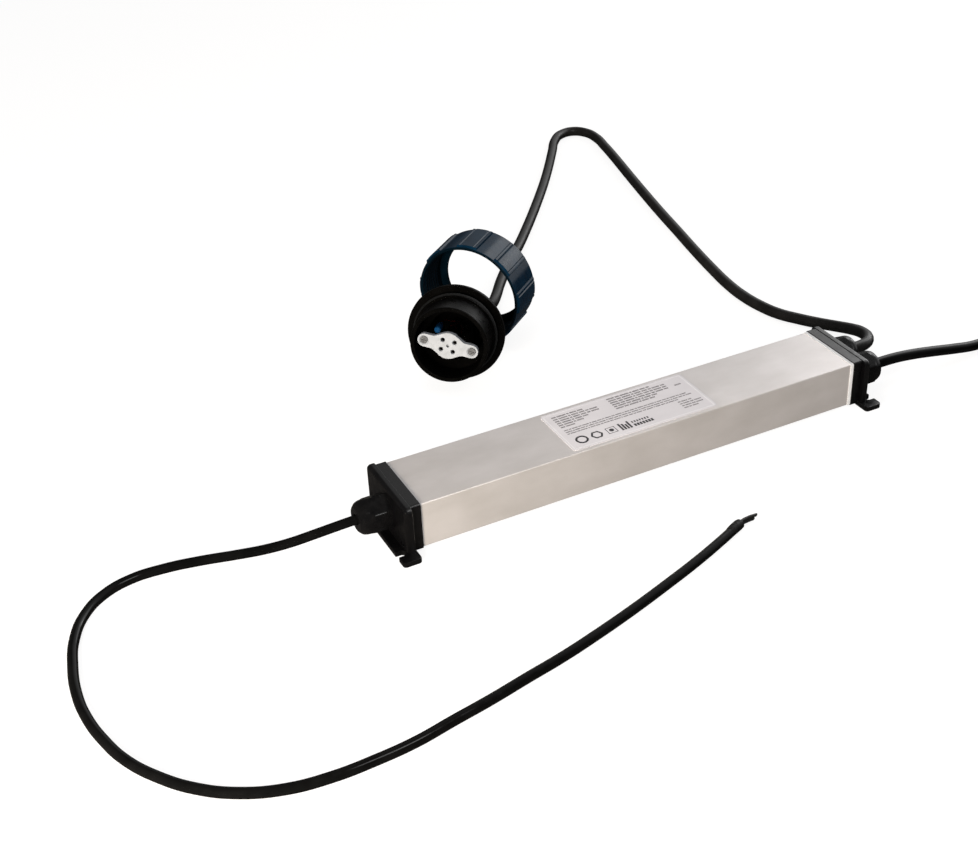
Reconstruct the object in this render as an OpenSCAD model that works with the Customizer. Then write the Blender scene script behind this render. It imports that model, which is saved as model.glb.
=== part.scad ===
// Ballast for an ultraviolet lamp: an aluminium tube with two moulded end caps, a lamp lead with its
// holder and union nut, a mains lead with its plug and a short control lead with bare ends.
// The tube lies along X, the feet stand on z = 0, and the origin is under the middle of the tube.

/* [Housing] */
// Width of the aluminium tube
housing_w = 57; // [50:0.5:80]
// Height of the aluminium tube
housing_h = 35; // [33:0.5:50]
// Length of the aluminium tube
housing_len = 351; // [320:1:600]
// Wall of the aluminium tube
housing_wall = 1.5; // [1.2:0.1:2]
// Radius of the tube's long outer edges
housing_edge_r = 1; // [0.5:0.1:1.2]
// Height of the tube's underside over the feet
housing_lift = 2.5; // [2:0.1:5]
// Thickness of the ribs that guide the circuit board
rail_t = 1.2; // [1:0.1:1.5]
// How far the ribs stand in from the wall
rail_reach = 2.2; // [1.5:0.1:2.5]
// Wall of the round channels that take the cap screws
channel_wall = 1.4; // [1:0.1:1.6]

/* [End caps] */
// Thickness of the silicone gasket behind the right cap
gasket_t = 2.6; // [1:0.1:4]
// Thickness of the gasket behind the left cap, which is drawn tight
gasket_tight_t = 0.6; // [0.4:0.1:3]
// How far the right gasket stands out past the tube
gasket_proud = 0.4; // [0:0.1:0.8]
// Depth of the frame that meets the gasket
frame_t = 7.5; // [5:0.5:12]
// How far the frame stands out past the tube
frame_margin = 1; // [0.6:0.1:2]
// Wall of the frame
frame_wall = 3.6; // [2.6:0.1:4]
// Depth of the outer plate
plate_t = 5.8; // [4:0.2:8]
// How far the plate stands out past the tube's sides
plate_side = 4.5; // [2:0.5:8]
// How far the plate stands out over the tube's top
plate_top = 1.4; // [1:0.1:5]
// Rounding of the plate's outer edge
plate_edge_r = 3; // [1:0.2:3]
// Radius of the plate's corners
plate_corner_r = 4.5; // [3:0.5:6]
// Thickness of the moulding at the glands
cap_wall = 3.8; // [3:0.1:4.5]
// Length of the tongues that plug into the tube
tongue_len = 9; // [6:0.5:12]

/* [Feet] */
// Thickness of each foot flange
foot_t = 4; // [3:0.2:5]
// How far the foot flange stands out past the plate
foot_reach = 6.6; // [5:0.1:12]
// Length of the foot flange under the plate
foot_under = 7.1; // [5:0.1:10]
// Width of the foot flange over both ears
foot_span = 82; // [78:0.5:110]
// Distance between the two screw slots of one foot
slot_pitch = 59; // [57:0.5:66]
// Width of each screw slot
slot_w = 5.6; // [4:0.1:6.4]
// Radius of the foot's corners
foot_corner_r = 2.5; // [1:0.1:3]

/* [Cap screws] */
// Diameter of the thread of the self-tapping screws
screw_d = 2.8; // [2.4:0.1:3]
// Diameter of the screw heads
screw_head_d = 5.2; // [4.8:0.1:5.6]
// Height of the screw heads
screw_head_h = 2; // [1.5:0.1:2.4]
// Length of the screws under their heads
screw_len = 22; // [19:0.5:26]

/* [Cable glands] */
// Width across the flats of the gland nuts
gland_af = 24; // [23:0.5:25]
// Diameter of the gland thread in the cap wall
gland_thread_d = 20; // [19:0.2:21]
// Distance between the two glands of the right cap
gland_pitch = 27; // [26:0.5:28]
// Thickness of the gland's hexagon flange
gland_flange_t = 3.5; // [2.5:0.1:5]
// Length of the dome nuts on the mains and lamp leads
gland_nut_len = 16; // [14:0.5:20]
// Length of the dome nut on the control lead
control_nut_len = 19; // [14:0.5:22]
// Width across the flats of the lock nut
locknut_af = 23; // [22:0.2:23.4]
// Thickness of the lock nut
locknut_t = 4.4; // [3.4:0.2:5]

/* [Leads] */
// Diameter of the control lead
control_d = 6.8; // [5:0.1:8]
// Diameter of the mains lead
mains_d = 8.3; // [6:0.1:9]
// Diameter of the lamp lead
lamp_d = 9.4; // [7:0.1:10]
// Diameter of one insulated core
core_d = 2.4; // [1.6:0.1:2.6]
// Radius of the mains coil at the middle of its turns
coil_mean_r = 49.8; // [42:0.1:60]

/* [Circuit board] */
// Thickness of the circuit board
board_t = 1.6; // [1:0.1:2]
// Distance from the circuit board's ends to the tube's ends
board_end_gap = 9.5; // [8:0.5:20]
// Thickness of the insulating tray under the board
tray_t = 0.5; // [0.3:0.1:1]
// Clearance of the board in its rails
board_gap = 0.05; // [0.02:0.01:0.3]

/* [Label] */
// Length of the label on top
label_len = 118; // [60:1:200]
// Width of the label on top
label_w = 50.5; // [30:0.5:56]
// Thickness of the label
label_t = 0.2; // [0.1:0.1:0.5]

/* [Lamp holder] */
// Outer diameter of the holder's round front
cup_d = 60.6; // [58:0.2:64]
// Wall of the holder's round front
cup_wall = 3.3; // [2.4:0.1:4]
// Depth of the front hollow to its shelf
cup_depth = 23; // [20:0.5:26]
// Diameter of the holder's flange
flange_d = 77.3; // [74:0.1:79]
// Distance from the front rim to the back of the flange
flange_at = 33; // [31:0.5:38]
// Thickness of the holder's flange
flange_t = 3.5; // [2.5:0.1:5]
// Distance from the front rim to the seat of the holder's gland nut
neck_at = 55.7; // [52:0.1:60]
// Thickness of the sealing ring in front of the flange
seal_d = 3; // [2:0.1:3.4]

/* [Lamp socket] */
// Diameter of the socket's round middle
socket_d = 21; // [18:0.5:24]
// Depth of the socket's round middle
socket_depth = 14; // [11:0.5:16]
// Length of the socket over its ears
socket_len = 48; // [47:0.2:51]
// Width of the ears
ear_w = 10.6; // [9:0.2:12]
// Thickness of the ears
ear_t = 4.6; // [3.6:0.2:6]
// Distance between the two ear screws
ear_pitch = 38; // [36:0.5:39]
// Distance between the pin holes along the socket
pin_pitch_x = 9.4; // [8.4:0.1:10]
// Distance between the pin holes across the socket
pin_pitch_y = 7.7; // [6.8:0.1:8.4]
// Diameter of the pin holes
pin_hole_d = 3.4; // [2.4:0.1:3.6]

/* [Union nut] */
// Outer diameter of the union nut between its grip pads
union_d = 86.2; // [85:0.2:92]
// Height of the grip pads
pad_h = 1.4; // [0.4:0.1:2]
// Number of grip pads
pad_count = 8; // [6:1:12]
// Length of the union nut
union_len = 35.8; // [28:0.2:45]
// Inner diameter where the thread is cut
union_bore_d = 81.4; // [80:0.2:82]
// Diameter of the hole in the nut's rear lip
lip_d = 69; // [64:0.1:76]
// Thickness of the rear lip
lip_t = 3; // [2:0.2:5]

/* [Plug] */
// Diameter of the plug's body
plug_d = 37; // [36:0.5:40]
// Length of the plug's body
plug_len = 36; // [32:1:44]
// Diameter of the plug's pins
pin_d = 4.8; // [4:0.1:4.8]
// Length of the plug's pins
pin_len = 19; // [17:0.5:20]
// Distance between the plug's pins
pin_pitch = 19; // [18:0.5:19.5]

/* [Hidden] */

// Smoothness of round surfaces
$fn = 64;
// Slack between pieces that slide over each other
slack = 0.1;
// Overshoot of cutting tools
cut = 1;

// Places inside and at the ends of the tube
axis_z = housing_lift + housing_h / 2;
floor_z = housing_lift + housing_wall;
ceiling_z = housing_lift + housing_h - housing_wall;
inner_y = housing_w / 2 - housing_wall;
cap_x = (housing_len + gasket_t + gasket_tight_t) / 2;
tube_end = cap_x - gasket_t;
tube_start = cap_x - gasket_tight_t;
cap_t = frame_t + plate_t;
plate_x = cap_x + cap_t;
pocket_depth = cap_t - cap_wall;

// Screw channels in the tube's lower corners
channel_bore_r = screw_d / 2 + slack / 2;
channel_r = channel_bore_r + channel_wall;
channel_y = inner_y - channel_r + 0.3;
channel_z = floor_z + channel_r - 0.3;

// The board lies on a rib that starts just over the screw channels
rail_z = channel_z + channel_r + 0.6;
board_z = rail_z + rail_t + board_gap;
board_top = board_z + board_t;
board_side_gap = 0.3;
board_w = 2 * (inner_y - board_side_gap);
board_len = 2 * (tube_end - board_end_gap);
near_edge = -board_w / 2;
far_edge = board_w / 2;

// Foot slots
slot_x = plate_x + 0.3 + slot_w / 2;

// Gland bores and stubs
gland_bore_r = 6.2;
stub_r = 9;
stub_inset = 7;
seal_inset = 3.5;
dome_end_r = 7.6;

// Two glands sit side by side in the right cap, and draw together in a narrow tube
nut_gap = 0.3;
gland_gap = 0.5;
pocket_w = housing_w + 2 * (frame_margin - frame_wall);
pocket_h = housing_h + 2 * (frame_margin - frame_wall);
lock_af = min(locknut_af, (pocket_w - 3 * nut_gap) / 2);
lamp_y = min(gland_pitch, pocket_w - 2 * nut_gap - lock_af) / 2;
mains_y = -lamp_y;
nut_af = min(gland_af, 2 * lamp_y - gland_gap);

// The sheaths end inside the caps, behind the gland bodies
sheath_back = 8.4;
sheath_x = plate_x - sheath_back;

// What the right gland's mouth moves by when the tube or the caps change size
drawn_x = 182;
drawn_y = 13.5;
drawn_z = 20;
cap_shift = sheath_x - drawn_x;
lift_shift = axis_z - drawn_z;

// Lamp holder, its front rim's centre and its turn and tilt
holder_at = [-74.7, 140.9, 44.2];
holder_turn = -36.4;
holder_tilt = 10.1;
socket_turn = -12.1;
socket_shift = [-0.8, -0.6, 0];
well_r = 20;
shelf_z = -cup_depth;
well_z = -(flange_at + 3);
rear_r = 29.5;
neck_r = 13;
post_r = 3.6;
shoulder_at = 23;
shoulder_r = cup_d / 2 + 2;
groove_r = shoulder_r - seal_d * 0.6;
groove_z = -shoulder_at - 1.4;

// Union nut, which stands on one of its grip pads
union_at = [-27.1, 204, union_d / 2 + pad_h];
union_turn = 128.8;
pad_angle = 180 / pad_count;

// Mains coil, its turns and its ties
coil_at = [364 + cap_shift, -69];
tie_t = 0.9;
tie_w = 4;
layer_rise = mains_d * 0.866;
coil_low_z = tie_t + mains_d / 2;
coil_rings = [[-1, 0], [0, 0], [1, 0], [-0.5, 1], [0.5, 1]];

// Plug, lying beside the coil
plug_at = [356.5 + cap_shift, -158];
plug_turn = -132;
relief_len = 28;

// Route of the control lead from its gland to the end of its sheath
control_route = [[-182, 0, 20], [-198, 0, 20], [-214, 0, 20], [-228, 2, 18], [-242, 7, 13.5],
    [-256, 13, 8.5], [-272, 19, 5], [-290, 25, 3.4], [-314, 31, 3.4], [-338, 35, 3.4], [-360, 35, 3.4],
    [-380, 28, 3.4], [-396, 14, 3.4], [-408, -7, 3.4], [-415, -31, 3.4], [-419, -56, 3.4],
    [-419, -80, 3.4], [-415, -104, 3.4], [-408, -126, 3.4], [-396, -147, 3.4], [-380, -166, 3.4],
    [-360, -181, 3.4], [-336, -191, 3.4], [-310, -195, 3.4], [-284, -195, 3.4], [-258, -193, 3.4],
    [-232, -188, 3.4], [-205, -183, 3.4], [-178, -177, 3.4], [-150, -171, 3.4], [-120, -163, 3.4],
    [-90, -154, 3.4], [-60, -144, 3.4], [-29, -133, 3.4], [-4, -123, 3.4], [19, -113, 3.4]];
// Route of the two bare cores at its end
control_end_route = [[19.1, -113, 3.4], [23, -111.6, 3.2], [29, -110.6, 2.8], [35, -110.6, 2.4]];

// Route of the lamp lead from its gland to the lamp holder
lamp_route = [[182, 13.5, 20], [198, 13.5, 20], [214, 13.5, 20], [226, 16, 19.5], [234, 24, 18.5],
    [238, 36, 16], [240, 50, 11.5], [238, 66, 7], [231, 81, 4.9], [222, 95, 4.7], [213, 111, 4.7],
    [208, 130, 4.7], [206, 150, 4.7], [207, 174, 4.7], [212, 208, 4.7], [219, 246, 4.7],
    [227, 285, 4.7], [236, 330, 4.7], [246, 376, 4.7], [256, 420, 4.7], [266, 463, 4.7],
    [273, 496, 4.7], [277, 520, 4.7], [275, 538, 4.7], [265, 549, 4.7], [250, 548, 4.7],
    [236, 536, 4.7], [221, 514, 4.7], [200, 483, 4.7], [176, 449, 4.7], [152, 417, 4.7],
    [128, 386, 4.7], [108, 361, 4.7], [89, 338, 4.7], [70, 317, 4.7], [54, 298, 4.7], [39, 279, 4.7],
    [27, 262, 5.2], [17, 248, 7.4], [9, 237.5, 11], [1, 229.3, 15.3], [-6.5, 223.5, 19.4],
    [-14, 218, 23.6], [-21.5, 211.5, 27.4], [-28, 204.3, 30.1], [-34, 196, 31.4]];

// Route of the mains lead from its gland to the coil, and from the coil to the plug
mains_route = [[182, -13.5, 20], [198, -13.5, 20], [214, -13.5, 20], [230, -13.5, 19.6],
    [248, -13.5, 17.6], [268, -13.5, 14.2], [288, -13.5, 10.4], [310, -13, 6.6], [332, -11.2, 5.1]];
tail_route = [[384.7, -126.6, 14.7], [376, -136.3, 16.4], [369.4, -143.7, 17.75], [364, -149.7, 18.45],
    [360.5, -153.55, 18.5], [355.4, -159.2, 18.5]];

// A route whose start follows its gland by start_shift, and whose end moves by end_shift
function eased_along(route, start_shift, end_shift, hold) = [for (i = [0 : len(route) - 1])
    let (back = max(0, i - hold) / (len(route) - 1 - hold))
    route[i] + start_shift * (1 - back) + end_shift * back];
control_run = eased_along(control_route, [-cap_shift, 0, lift_shift], [-cap_shift, 0, 0], 2);
control_end_run = eased_along(control_end_route, [-cap_shift, 0, 0], [-cap_shift, 0, 0], 0);
lamp_run = eased_along(lamp_route, [cap_shift, lamp_y - drawn_y, lift_shift], [0, 0, 0], 2);
mains_run = eased_along(mains_route, [cap_shift, drawn_y + mains_y, lift_shift], [cap_shift, 0, 0], 2);
tail_run = eased_along(tail_route, [cap_shift, 0, 0], [cap_shift, 0, 0], 0);

// Vector helpers and the sweep of a round tube along its own points
function unit(v) = v / norm(v);
function heading(p, i) = unit(p[min(i + 1, len(p) - 1)] - p[max(i - 1, 0)]);
function side_of(t) = unit(cross([0, 0, 1], t));
function ring(c, t, r, n) = [for (k = [0 : n - 1])
    c + r * cos(360 * k / n) * side_of(t) + r * sin(360 * k / n) * cross(t, side_of(t))];

module tube(route, d, sides = 12) {
    rings = [for (i = [0 : len(route) - 1]) each ring(route[i], heading(route, i), d / 2, sides)];
    last = (len(route) - 1) * sides;
    start_face = [for (k = [0 : sides - 1]) k];
    end_face = [for (k = [sides - 1 : -1 : 0]) last + k];
    walls = [for (i = [0 : len(route) - 2]) for (k = [0 : sides - 1])
        let (a = i * sides + k, b = i * sides + (k + 1) % sides)
        each [[a, a + sides, b], [b, a + sides, b + sides]]];
    polyhedron(points = rings, faces = concat([start_face], [end_face], walls));
}

// A rectangle with round corners, centred on the origin
module round_rect(w, h, r) {
    union() {
        square([w - 2 * r, h], center = true);
        square([w, h - 2 * r], center = true);
        for (sx = [-1, 1])
            for (sy = [-1, 1])
                translate([sx * (w / 2 - r), sy * (h / 2 - r)])
                    circle(r);
    }
}

// Turns a profile drawn in Y and Z so that it is extruded along X
module along_x(x0, length) {
    translate([x0, 0, 0])
        rotate([90, 0, 90])
            linear_extrude(length)
                children();
}

// A plain round rod along X
module rod_x(x0, length, r) {
    translate([x0, 0, 0])
        rotate([0, 90, 0])
            cylinder(r = r, h = length);
}

// A hexagonal prism by its width across flats, with two flats facing along Y
module hex(af, h) {
    cylinder(d = af / cos(30), h = h, $fn = 6);
}

// Housing: the extruded tube with board rails and two screw channels
module housing_profile() {
    difference() {
        translate([0, axis_z])
            round_rect(housing_w, housing_h, housing_edge_r);
        translate([0, axis_z])
            square([2 * inner_y, housing_h - 2 * housing_wall], center = true);
    }
    for (s = [-1, 1]) {
        for (z = [rail_z, board_top + board_gap])
            translate([s * (inner_y - rail_reach / 2 + 0.2), z + rail_t / 2])
                square([rail_reach + 0.4, rail_t], center = true);
        difference() {
            intersection() {
                translate([s * channel_y, channel_z])
                    circle(channel_r);
                translate([0, axis_z])
                    square([2 * inner_y + 0.4, housing_h - 2 * housing_wall + 0.4], center = true);
            }
            translate([s * channel_y, channel_z])
                circle(channel_bore_r);
            translate([s * channel_y, channel_z])
                rotate(s > 0 ? 135 : 45)
                    translate([channel_r, 0])
                        square([2 * channel_r, 1.2], center = true);
        }
    }
}

module housing() {
    color("silver")
        along_x(-tube_start, housing_len)
            housing_profile();
}

// Gasket: a thin silicone frame between the tube and the cap, drawn for the right end
module gasket(thickness, proud) {
    color("white")
        along_x(cap_x - thickness, thickness)
            translate([0, axis_z])
                difference() {
                    round_rect(housing_w + 2 * proud, housing_h + 2 * proud, housing_edge_r + proud);
                    square([2 * inner_y + 0.2, housing_h - 2 * housing_wall + 0.2], center = true);
                }
}

module gasket_left() {
    mirror([1, 0, 0])
        gasket(gasket_tight_t, 0);
}

module gasket_right() {
    gasket(gasket_t, gasket_proud);
}

// End cap, drawn for the right end: frame, plate, foot flange with ears, screw posts and tongues
module cap_plate() {
    plate_w = housing_w + 2 * plate_side;
    plate_h = housing_lift + housing_h + plate_top;
    steps = 4;
    translate([0, 0, plate_h / 2])
        rotate([90, 0, 90])
            hull() {
                linear_extrude(plate_t - plate_edge_r)
                    round_rect(plate_w, plate_h, plate_corner_r, $fn = 32);
                for (i = [1 : steps])
                    let (a = 90 * i / steps, in = plate_edge_r * (1 - cos(a)))
                    linear_extrude(plate_t - plate_edge_r * (1 - sin(a)))
                        round_rect(plate_w - 2 * in, plate_h - 2 * in, plate_corner_r - in, $fn = 32);
            }
}

module foot_flange() {
    length = foot_under + foot_reach;
    difference() {
        translate([plate_x - foot_under + length / 2, 0, 0])
            linear_extrude(foot_t)
                round_rect(length, foot_span, foot_corner_r);
        for (s = [-1, 1])
            translate([slot_x, s * slot_pitch / 2, -cut]) {
                cylinder(d = slot_w, h = foot_t + 2 * cut);
                translate([0, -slot_w / 2, 0])
                    cube([foot_reach + cut, slot_w, foot_t + 2 * cut]);
            }
    }
}

module cap_frame() {
    along_x(cap_x, frame_t)
        translate([0, axis_z])
            round_rect(housing_w + 2 * frame_margin, housing_h + 2 * frame_margin, 2);
}

module cap_tongues() {
    tongue_t = 2;
    top_w = housing_w * 0.7;
    side_h = housing_h * 0.45;
    translate([cap_x - gasket_t - tongue_len, -top_w / 2, ceiling_z - 0.3 - tongue_t])
        cube([tongue_len + gasket_t + cut, top_w, tongue_t]);
    for (s = [-1, 1])
        translate([cap_x - gasket_t - tongue_len, s * (inner_y - 0.3 - tongue_t / 2) - tongue_t / 2,
                ceiling_z - 3 - side_h])
            cube([tongue_len + gasket_t + cut, tongue_t, side_h]);
}

module end_cap(gland_ys) {
    post = screw_head_d / 2 + 0.9;
    difference() {
        union() {
            difference() {
                union() {
                    cap_frame();
                    translate([cap_x + frame_t, 0, 0])
                        cap_plate();
                    foot_flange();
                }
                along_x(cap_x - cut, pocket_depth + cut)
                    translate([0, axis_z])
                        round_rect(pocket_w, pocket_h, 2);
            }
            for (s = [-1, 1])
                translate([0, s * channel_y, channel_z])
                    rod_x(cap_x, pocket_depth + cut, post);
            cap_tongues();
        }
        for (y = gland_ys)
            translate([0, y, axis_z])
                rod_x(cap_x + pocket_depth - cut, cap_wall + 2 * cut, gland_thread_d / 2 + slack);
        for (s = [-1, 1])
            translate([0, s * channel_y, channel_z]) {
                rod_x(cap_x - cut, cap_t + 2 * cut, screw_d / 2 + 0.3);
                rod_x(plate_x - screw_head_h - 0.5, foot_reach + cut, screw_head_d / 2 + 0.2);
            }
    }
}

module end_cap_left() {
    color("dimgray")
        mirror([1, 0, 0])
            end_cap([0]);
}

module end_cap_right() {
    color("dimgray")
        end_cap([mains_y, lamp_y]);
}

// Cap screws: four self-tapping screws with cross recesses
module cap_screw() {
    head_x = plate_x - screw_head_h - 0.5;
    difference() {
        union() {
            rod_x(head_x - screw_len, screw_len + 0.1, screw_d / 2);
            rod_x(head_x, screw_head_h, screw_head_d / 2);
        }
        for (a = [0, 90])
            rotate([a, 0, 0])
                translate([head_x + screw_head_h - 1.2, -1.5, -0.35])
                    cube([2, 3, 0.7]);
    }
}

module cap_screws() {
    color("gray")
        for (side = [0, 1])
            mirror([side, 0, 0])
                for (s = [-1, 1])
                    translate([0, s * channel_y, channel_z])
                        cap_screw();
}

// Label on the tube's top
module label() {
    color("gainsboro")
        translate([0, 0, housing_lift + housing_h])
            linear_extrude(label_t)
                round_rect(label_len, label_w, 3);
}

// Cable gland pieces, drawn along Z from the face that the hexagon flange seats on
module gland_body(nut_len) {
    stub_len = nut_len - stub_inset;
    body_len = cap_wall + locknut_t + gland_flange_t + stub_len;
    color("dimgray")
        difference() {
            union() {
                intersection() {
                    hex(nut_af, gland_flange_t);
                    cylinder(r1 = nut_af * 0.62, r2 = nut_af * 0.55, h = gland_flange_t);
                }
                cylinder(r = stub_r, h = gland_flange_t + stub_len);
                translate([0, 0, -cap_wall - locknut_t - 0.8])
                    cylinder(d = gland_thread_d, h = cap_wall + locknut_t + 1);
            }
            translate([0, 0, -cap_wall - locknut_t - cut])
                cylinder(r = gland_bore_r, h = body_len + 2 * cut);
        }
}

// Rubber seal: a sleeve in the gland's bore with a cone under the dome
module gland_seal(lead_d, nut_len) {
    stub_len = nut_len - stub_inset;
    seal_end = nut_len - seal_inset;
    color("black")
        rotate_extrude()
            polygon([[lead_d / 2 + slack, 3], [gland_bore_r - slack, 3],
                [gland_bore_r - slack, stub_len + 0.2], [stub_r - 0.4, stub_len + 0.2],
                [lead_d / 2 + 1.6, seal_end], [lead_d / 2 + slack, seal_end]]);
}

// Dome nut: hexagon below, fluted dome above, with a bore for the stub and an outlet for the lead
module gland_nut(lead_d, nut_len) {
    end_r = max(dome_end_r, lead_d / 2 + 1.8);
    stub_len = nut_len - stub_inset;
    seal_end = nut_len - seal_inset;
    color("dimgray")
        difference() {
            intersection() {
                hex(nut_af, nut_len);
                rotate_extrude()
                    polygon([[0, 0], [nut_af * 0.56, 0], [nut_af * 0.575, 0.8],
                        [nut_af * 0.575, nut_len * 0.5], [nut_af * 0.52, nut_len * 0.6],
                        [nut_af * 0.5, nut_len * 0.74], [nut_af * 0.465, nut_len * 0.87],
                        [end_r + 1.9, nut_len * 0.96], [end_r + 1, nut_len], [0, nut_len]]);
            }
            translate([0, 0, -cut])
                cylinder(r = stub_r + slack, h = stub_len + 0.1 + cut);
            translate([0, 0, stub_len])
                cylinder(r1 = stub_r + slack, r2 = lead_d / 2 + 1.8, h = seal_end - stub_len + 0.3);
            cylinder(r = lead_d / 2 + 0.6, h = nut_len + cut);
        }
}

module gland_locknut() {
    color("dimgray")
        translate([0, 0, -cap_wall - locknut_t])
            difference() {
                hex(lock_af, locknut_t);
                translate([0, 0, -cut])
                    cylinder(r = gland_thread_d / 2 + slack, h = locknut_t + 2 * cut);
            }
}

// Places a gland piece on the plate of the right cap, or of the left cap with side = -1
module on_plate(side, y) {
    translate([side * plate_x, y, axis_z])
        rotate([0, side * 90, 0])
            children();
}

// Lifts a dome nut or a seal onto the gland's hexagon flange
module on_flange() {
    translate([0, 0, gland_flange_t])
        children();
}

module control_gland_body() {
    on_plate(-1, 0)
        gland_body(control_nut_len);
}

module control_gland_seal() {
    on_plate(-1, 0)
        on_flange()
            gland_seal(control_d, control_nut_len);
}

module control_gland_nut() {
    on_plate(-1, 0)
        on_flange()
            gland_nut(control_d, control_nut_len);
}

module control_gland_locknut() {
    on_plate(-1, 0)
        gland_locknut();
}

module mains_gland_body() {
    on_plate(1, mains_y)
        gland_body(gland_nut_len);
}

module mains_gland_seal() {
    on_plate(1, mains_y)
        on_flange()
            gland_seal(mains_d, gland_nut_len);
}

module mains_gland_nut() {
    on_plate(1, mains_y)
        on_flange()
            gland_nut(mains_d, gland_nut_len);
}

module mains_gland_locknut() {
    on_plate(1, mains_y)
        gland_locknut();
}

module lamp_gland_body() {
    on_plate(1, lamp_y)
        gland_body(gland_nut_len);
}

module lamp_gland_seal() {
    on_plate(1, lamp_y)
        on_flange()
            gland_seal(lamp_d, gland_nut_len);
}

module lamp_gland_nut() {
    on_plate(1, lamp_y)
        on_flange()
            gland_nut(lamp_d, gland_nut_len);
}

module lamp_gland_locknut() {
    on_plate(1, lamp_y)
        gland_locknut();
}

// Circuit board in its rails, and the insulating tray under it
module circuit_board() {
    color("seagreen")
        translate([-board_len / 2, -board_w / 2, board_z])
            cube([board_len, board_w, board_t]);
}

module insulating_tray() {
    tray_w = 2 * (channel_y - channel_r) - 1.4;
    tray_h = board_z - floor_z;
    color("ivory")
        difference() {
            translate([-board_len / 2, -tray_w / 2, floor_z])
                cube([board_len, tray_w, tray_h]);
            translate([-board_len / 2 - cut, -tray_w / 2 + tray_t, floor_z + tray_t])
                cube([board_len + 2 * cut, tray_w - 2 * tray_t, tray_h]);
        }
}

// Terminal block: entries towards +X, a clamping screw well over each entry
terminal_depth = 11;
terminal_h = 13;
way_w = 5.2;
entry_r = 1.5;
entry_z = 6;
entry_depth = 5;

module terminal_block(ways) {
    width = ways * way_w;
    difference() {
        translate([0, -width / 2, 0])
            cube([terminal_depth, width, terminal_h]);
        translate([terminal_depth * 0.55, -width / 2 - cut, terminal_h - 2.5])
            cube([terminal_depth, width + 2 * cut, 4]);
        for (i = [0 : ways - 1])
            translate([0, (i - (ways - 1) / 2) * way_w, 0]) {
                translate([terminal_depth - entry_depth, 0, entry_z])
                    rod_x(0, entry_depth + cut, entry_r);
                translate([terminal_depth * 0.3, 0, terminal_h - 4])
                    cylinder(r = 1.8, h = 5);
            }
    }
}

terminal_inset = 6;
terminal_x = board_len / 2 - terminal_inset - terminal_depth;
mains_ways = 3;
lamp_ways = 4;
control_ways = 2;
mains_terminal_y = mains_y;
lamp_terminal_y = far_edge - 14.7;

module mains_terminal() {
    color("green")
        translate([terminal_x, mains_terminal_y, board_top])
            terminal_block(mains_ways);
}

module lamp_terminal() {
    color("green")
        translate([terminal_x, lamp_terminal_y, board_top])
            terminal_block(lamp_ways);
}

module control_terminal() {
    color("green")
        mirror([1, 0, 0])
            translate([terminal_x, 0, board_top])
                terminal_block(control_ways);
}

// Cores from the end of a lead's sheath to the entries of its terminal, drawn for the right end
module inner_cores(lead_y, terminal_y, ways) {
    mouth_x = terminal_x + terminal_depth;
    room = sheath_x - mouth_x;
    z = board_top + entry_z;
    for (i = [0 : ways - 1])
        let (k = i - (ways - 1) / 2, y = terminal_y + k * way_w,
            lay = [0, k * core_d * 0.85, (i % 2 == 0 ? 1 : -1) * core_d * 0.46],
            end = [sheath_x - 0.05, lead_y, axis_z] + lay)
        tube([[mouth_x - entry_depth + 0.5, y, z], [mouth_x + 2, y, z], [mouth_x + room * 0.35, y, z],
            end - [room * 0.3, 0, 0], end], core_d, 6);
}

module mains_cores() {
    color("saddlebrown")
        inner_cores(mains_y, mains_terminal_y, mains_ways);
}

module lamp_cores() {
    color("steelblue")
        inner_cores(lamp_y, lamp_terminal_y, lamp_ways);
}

module control_cores() {
    color("saddlebrown")
        mirror([1, 0, 0])
            inner_cores(0, 0, control_ways);
}

// Mains input: glass fuse in two clips, choke, suppression capacitor and bridge rectifier
// Each part keeps its share of the board's length and its distance from one long edge
fuse_at = [0.382 * board_len, near_edge + 11.7, board_top + 5.2];
fuse_r = 2.6;
fuse_len = 20;

module fuse() {
    color("lightgray")
        translate(fuse_at) {
            rod_x(-fuse_len / 2 + 5, fuse_len - 10, fuse_r - 0.3);
            for (s = [-1, 1])
                rod_x(s * (fuse_len / 2 - 2.75) - 2.75, 5.5, fuse_r);
        }
}

module fuse_clips() {
    color("goldenrod")
        for (s = [-1, 1])
            translate([fuse_at[0] + s * (fuse_len / 2 - 2.75), fuse_at[1], board_top])
                difference() {
                    translate([-2, -fuse_r - 0.5, 0])
                        cube([4, 2 * fuse_r + 1, fuse_at[2] - board_top + 1.4]);
                    translate([0, 0, fuse_at[2] - board_top])
                        rod_x(-3, 6, fuse_r + 0.02);
                    translate([-3, -fuse_r + 0.7, fuse_at[2] - board_top])
                        cube([6, 2 * fuse_r - 1.4, 6]);
                }
}

// A ferrite core of two E halves around a wound bobbin, standing on the board
module e_core(length, width, height) {
    leg = length / 8;
    window = length * 3 / 16;
    difference() {
        translate([-length / 2, -width / 2, 0])
            cube([length, width, height]);
        for (s = [-1, 1])
            translate([s * (length / 2 - leg - window / 2) - window / 2, -width / 2 - cut, leg])
                cube([window, width + 2 * cut, height - 2 * leg]);
    }
}

module e_winding(length, width, height) {
    leg = length / 8;
    window = length * 3 / 16 - 0.2;
    half = length / 2 - leg - 0.1;
    reach = width / 2 + window;
    difference() {
        translate([-half, -reach, leg + 0.1])
            cube([2 * half, 2 * reach, height - 2 * leg - 0.2]);
        translate([-half + window, -width / 2 - 0.1, 0])
            cube([2 * (half - window), width + 0.2, height]);
    }
}

choke_at = [0.297 * board_len, near_edge + 18.7, board_top];
choke_size = [26, 9, 20];

module choke_core() {
    color("dimgray")
        translate(choke_at)
            e_core(choke_size[0], choke_size[1], choke_size[2]);
}

module choke_winding() {
    color("peru")
        translate(choke_at)
            e_winding(choke_size[0], choke_size[1], choke_size[2]);
}

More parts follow.
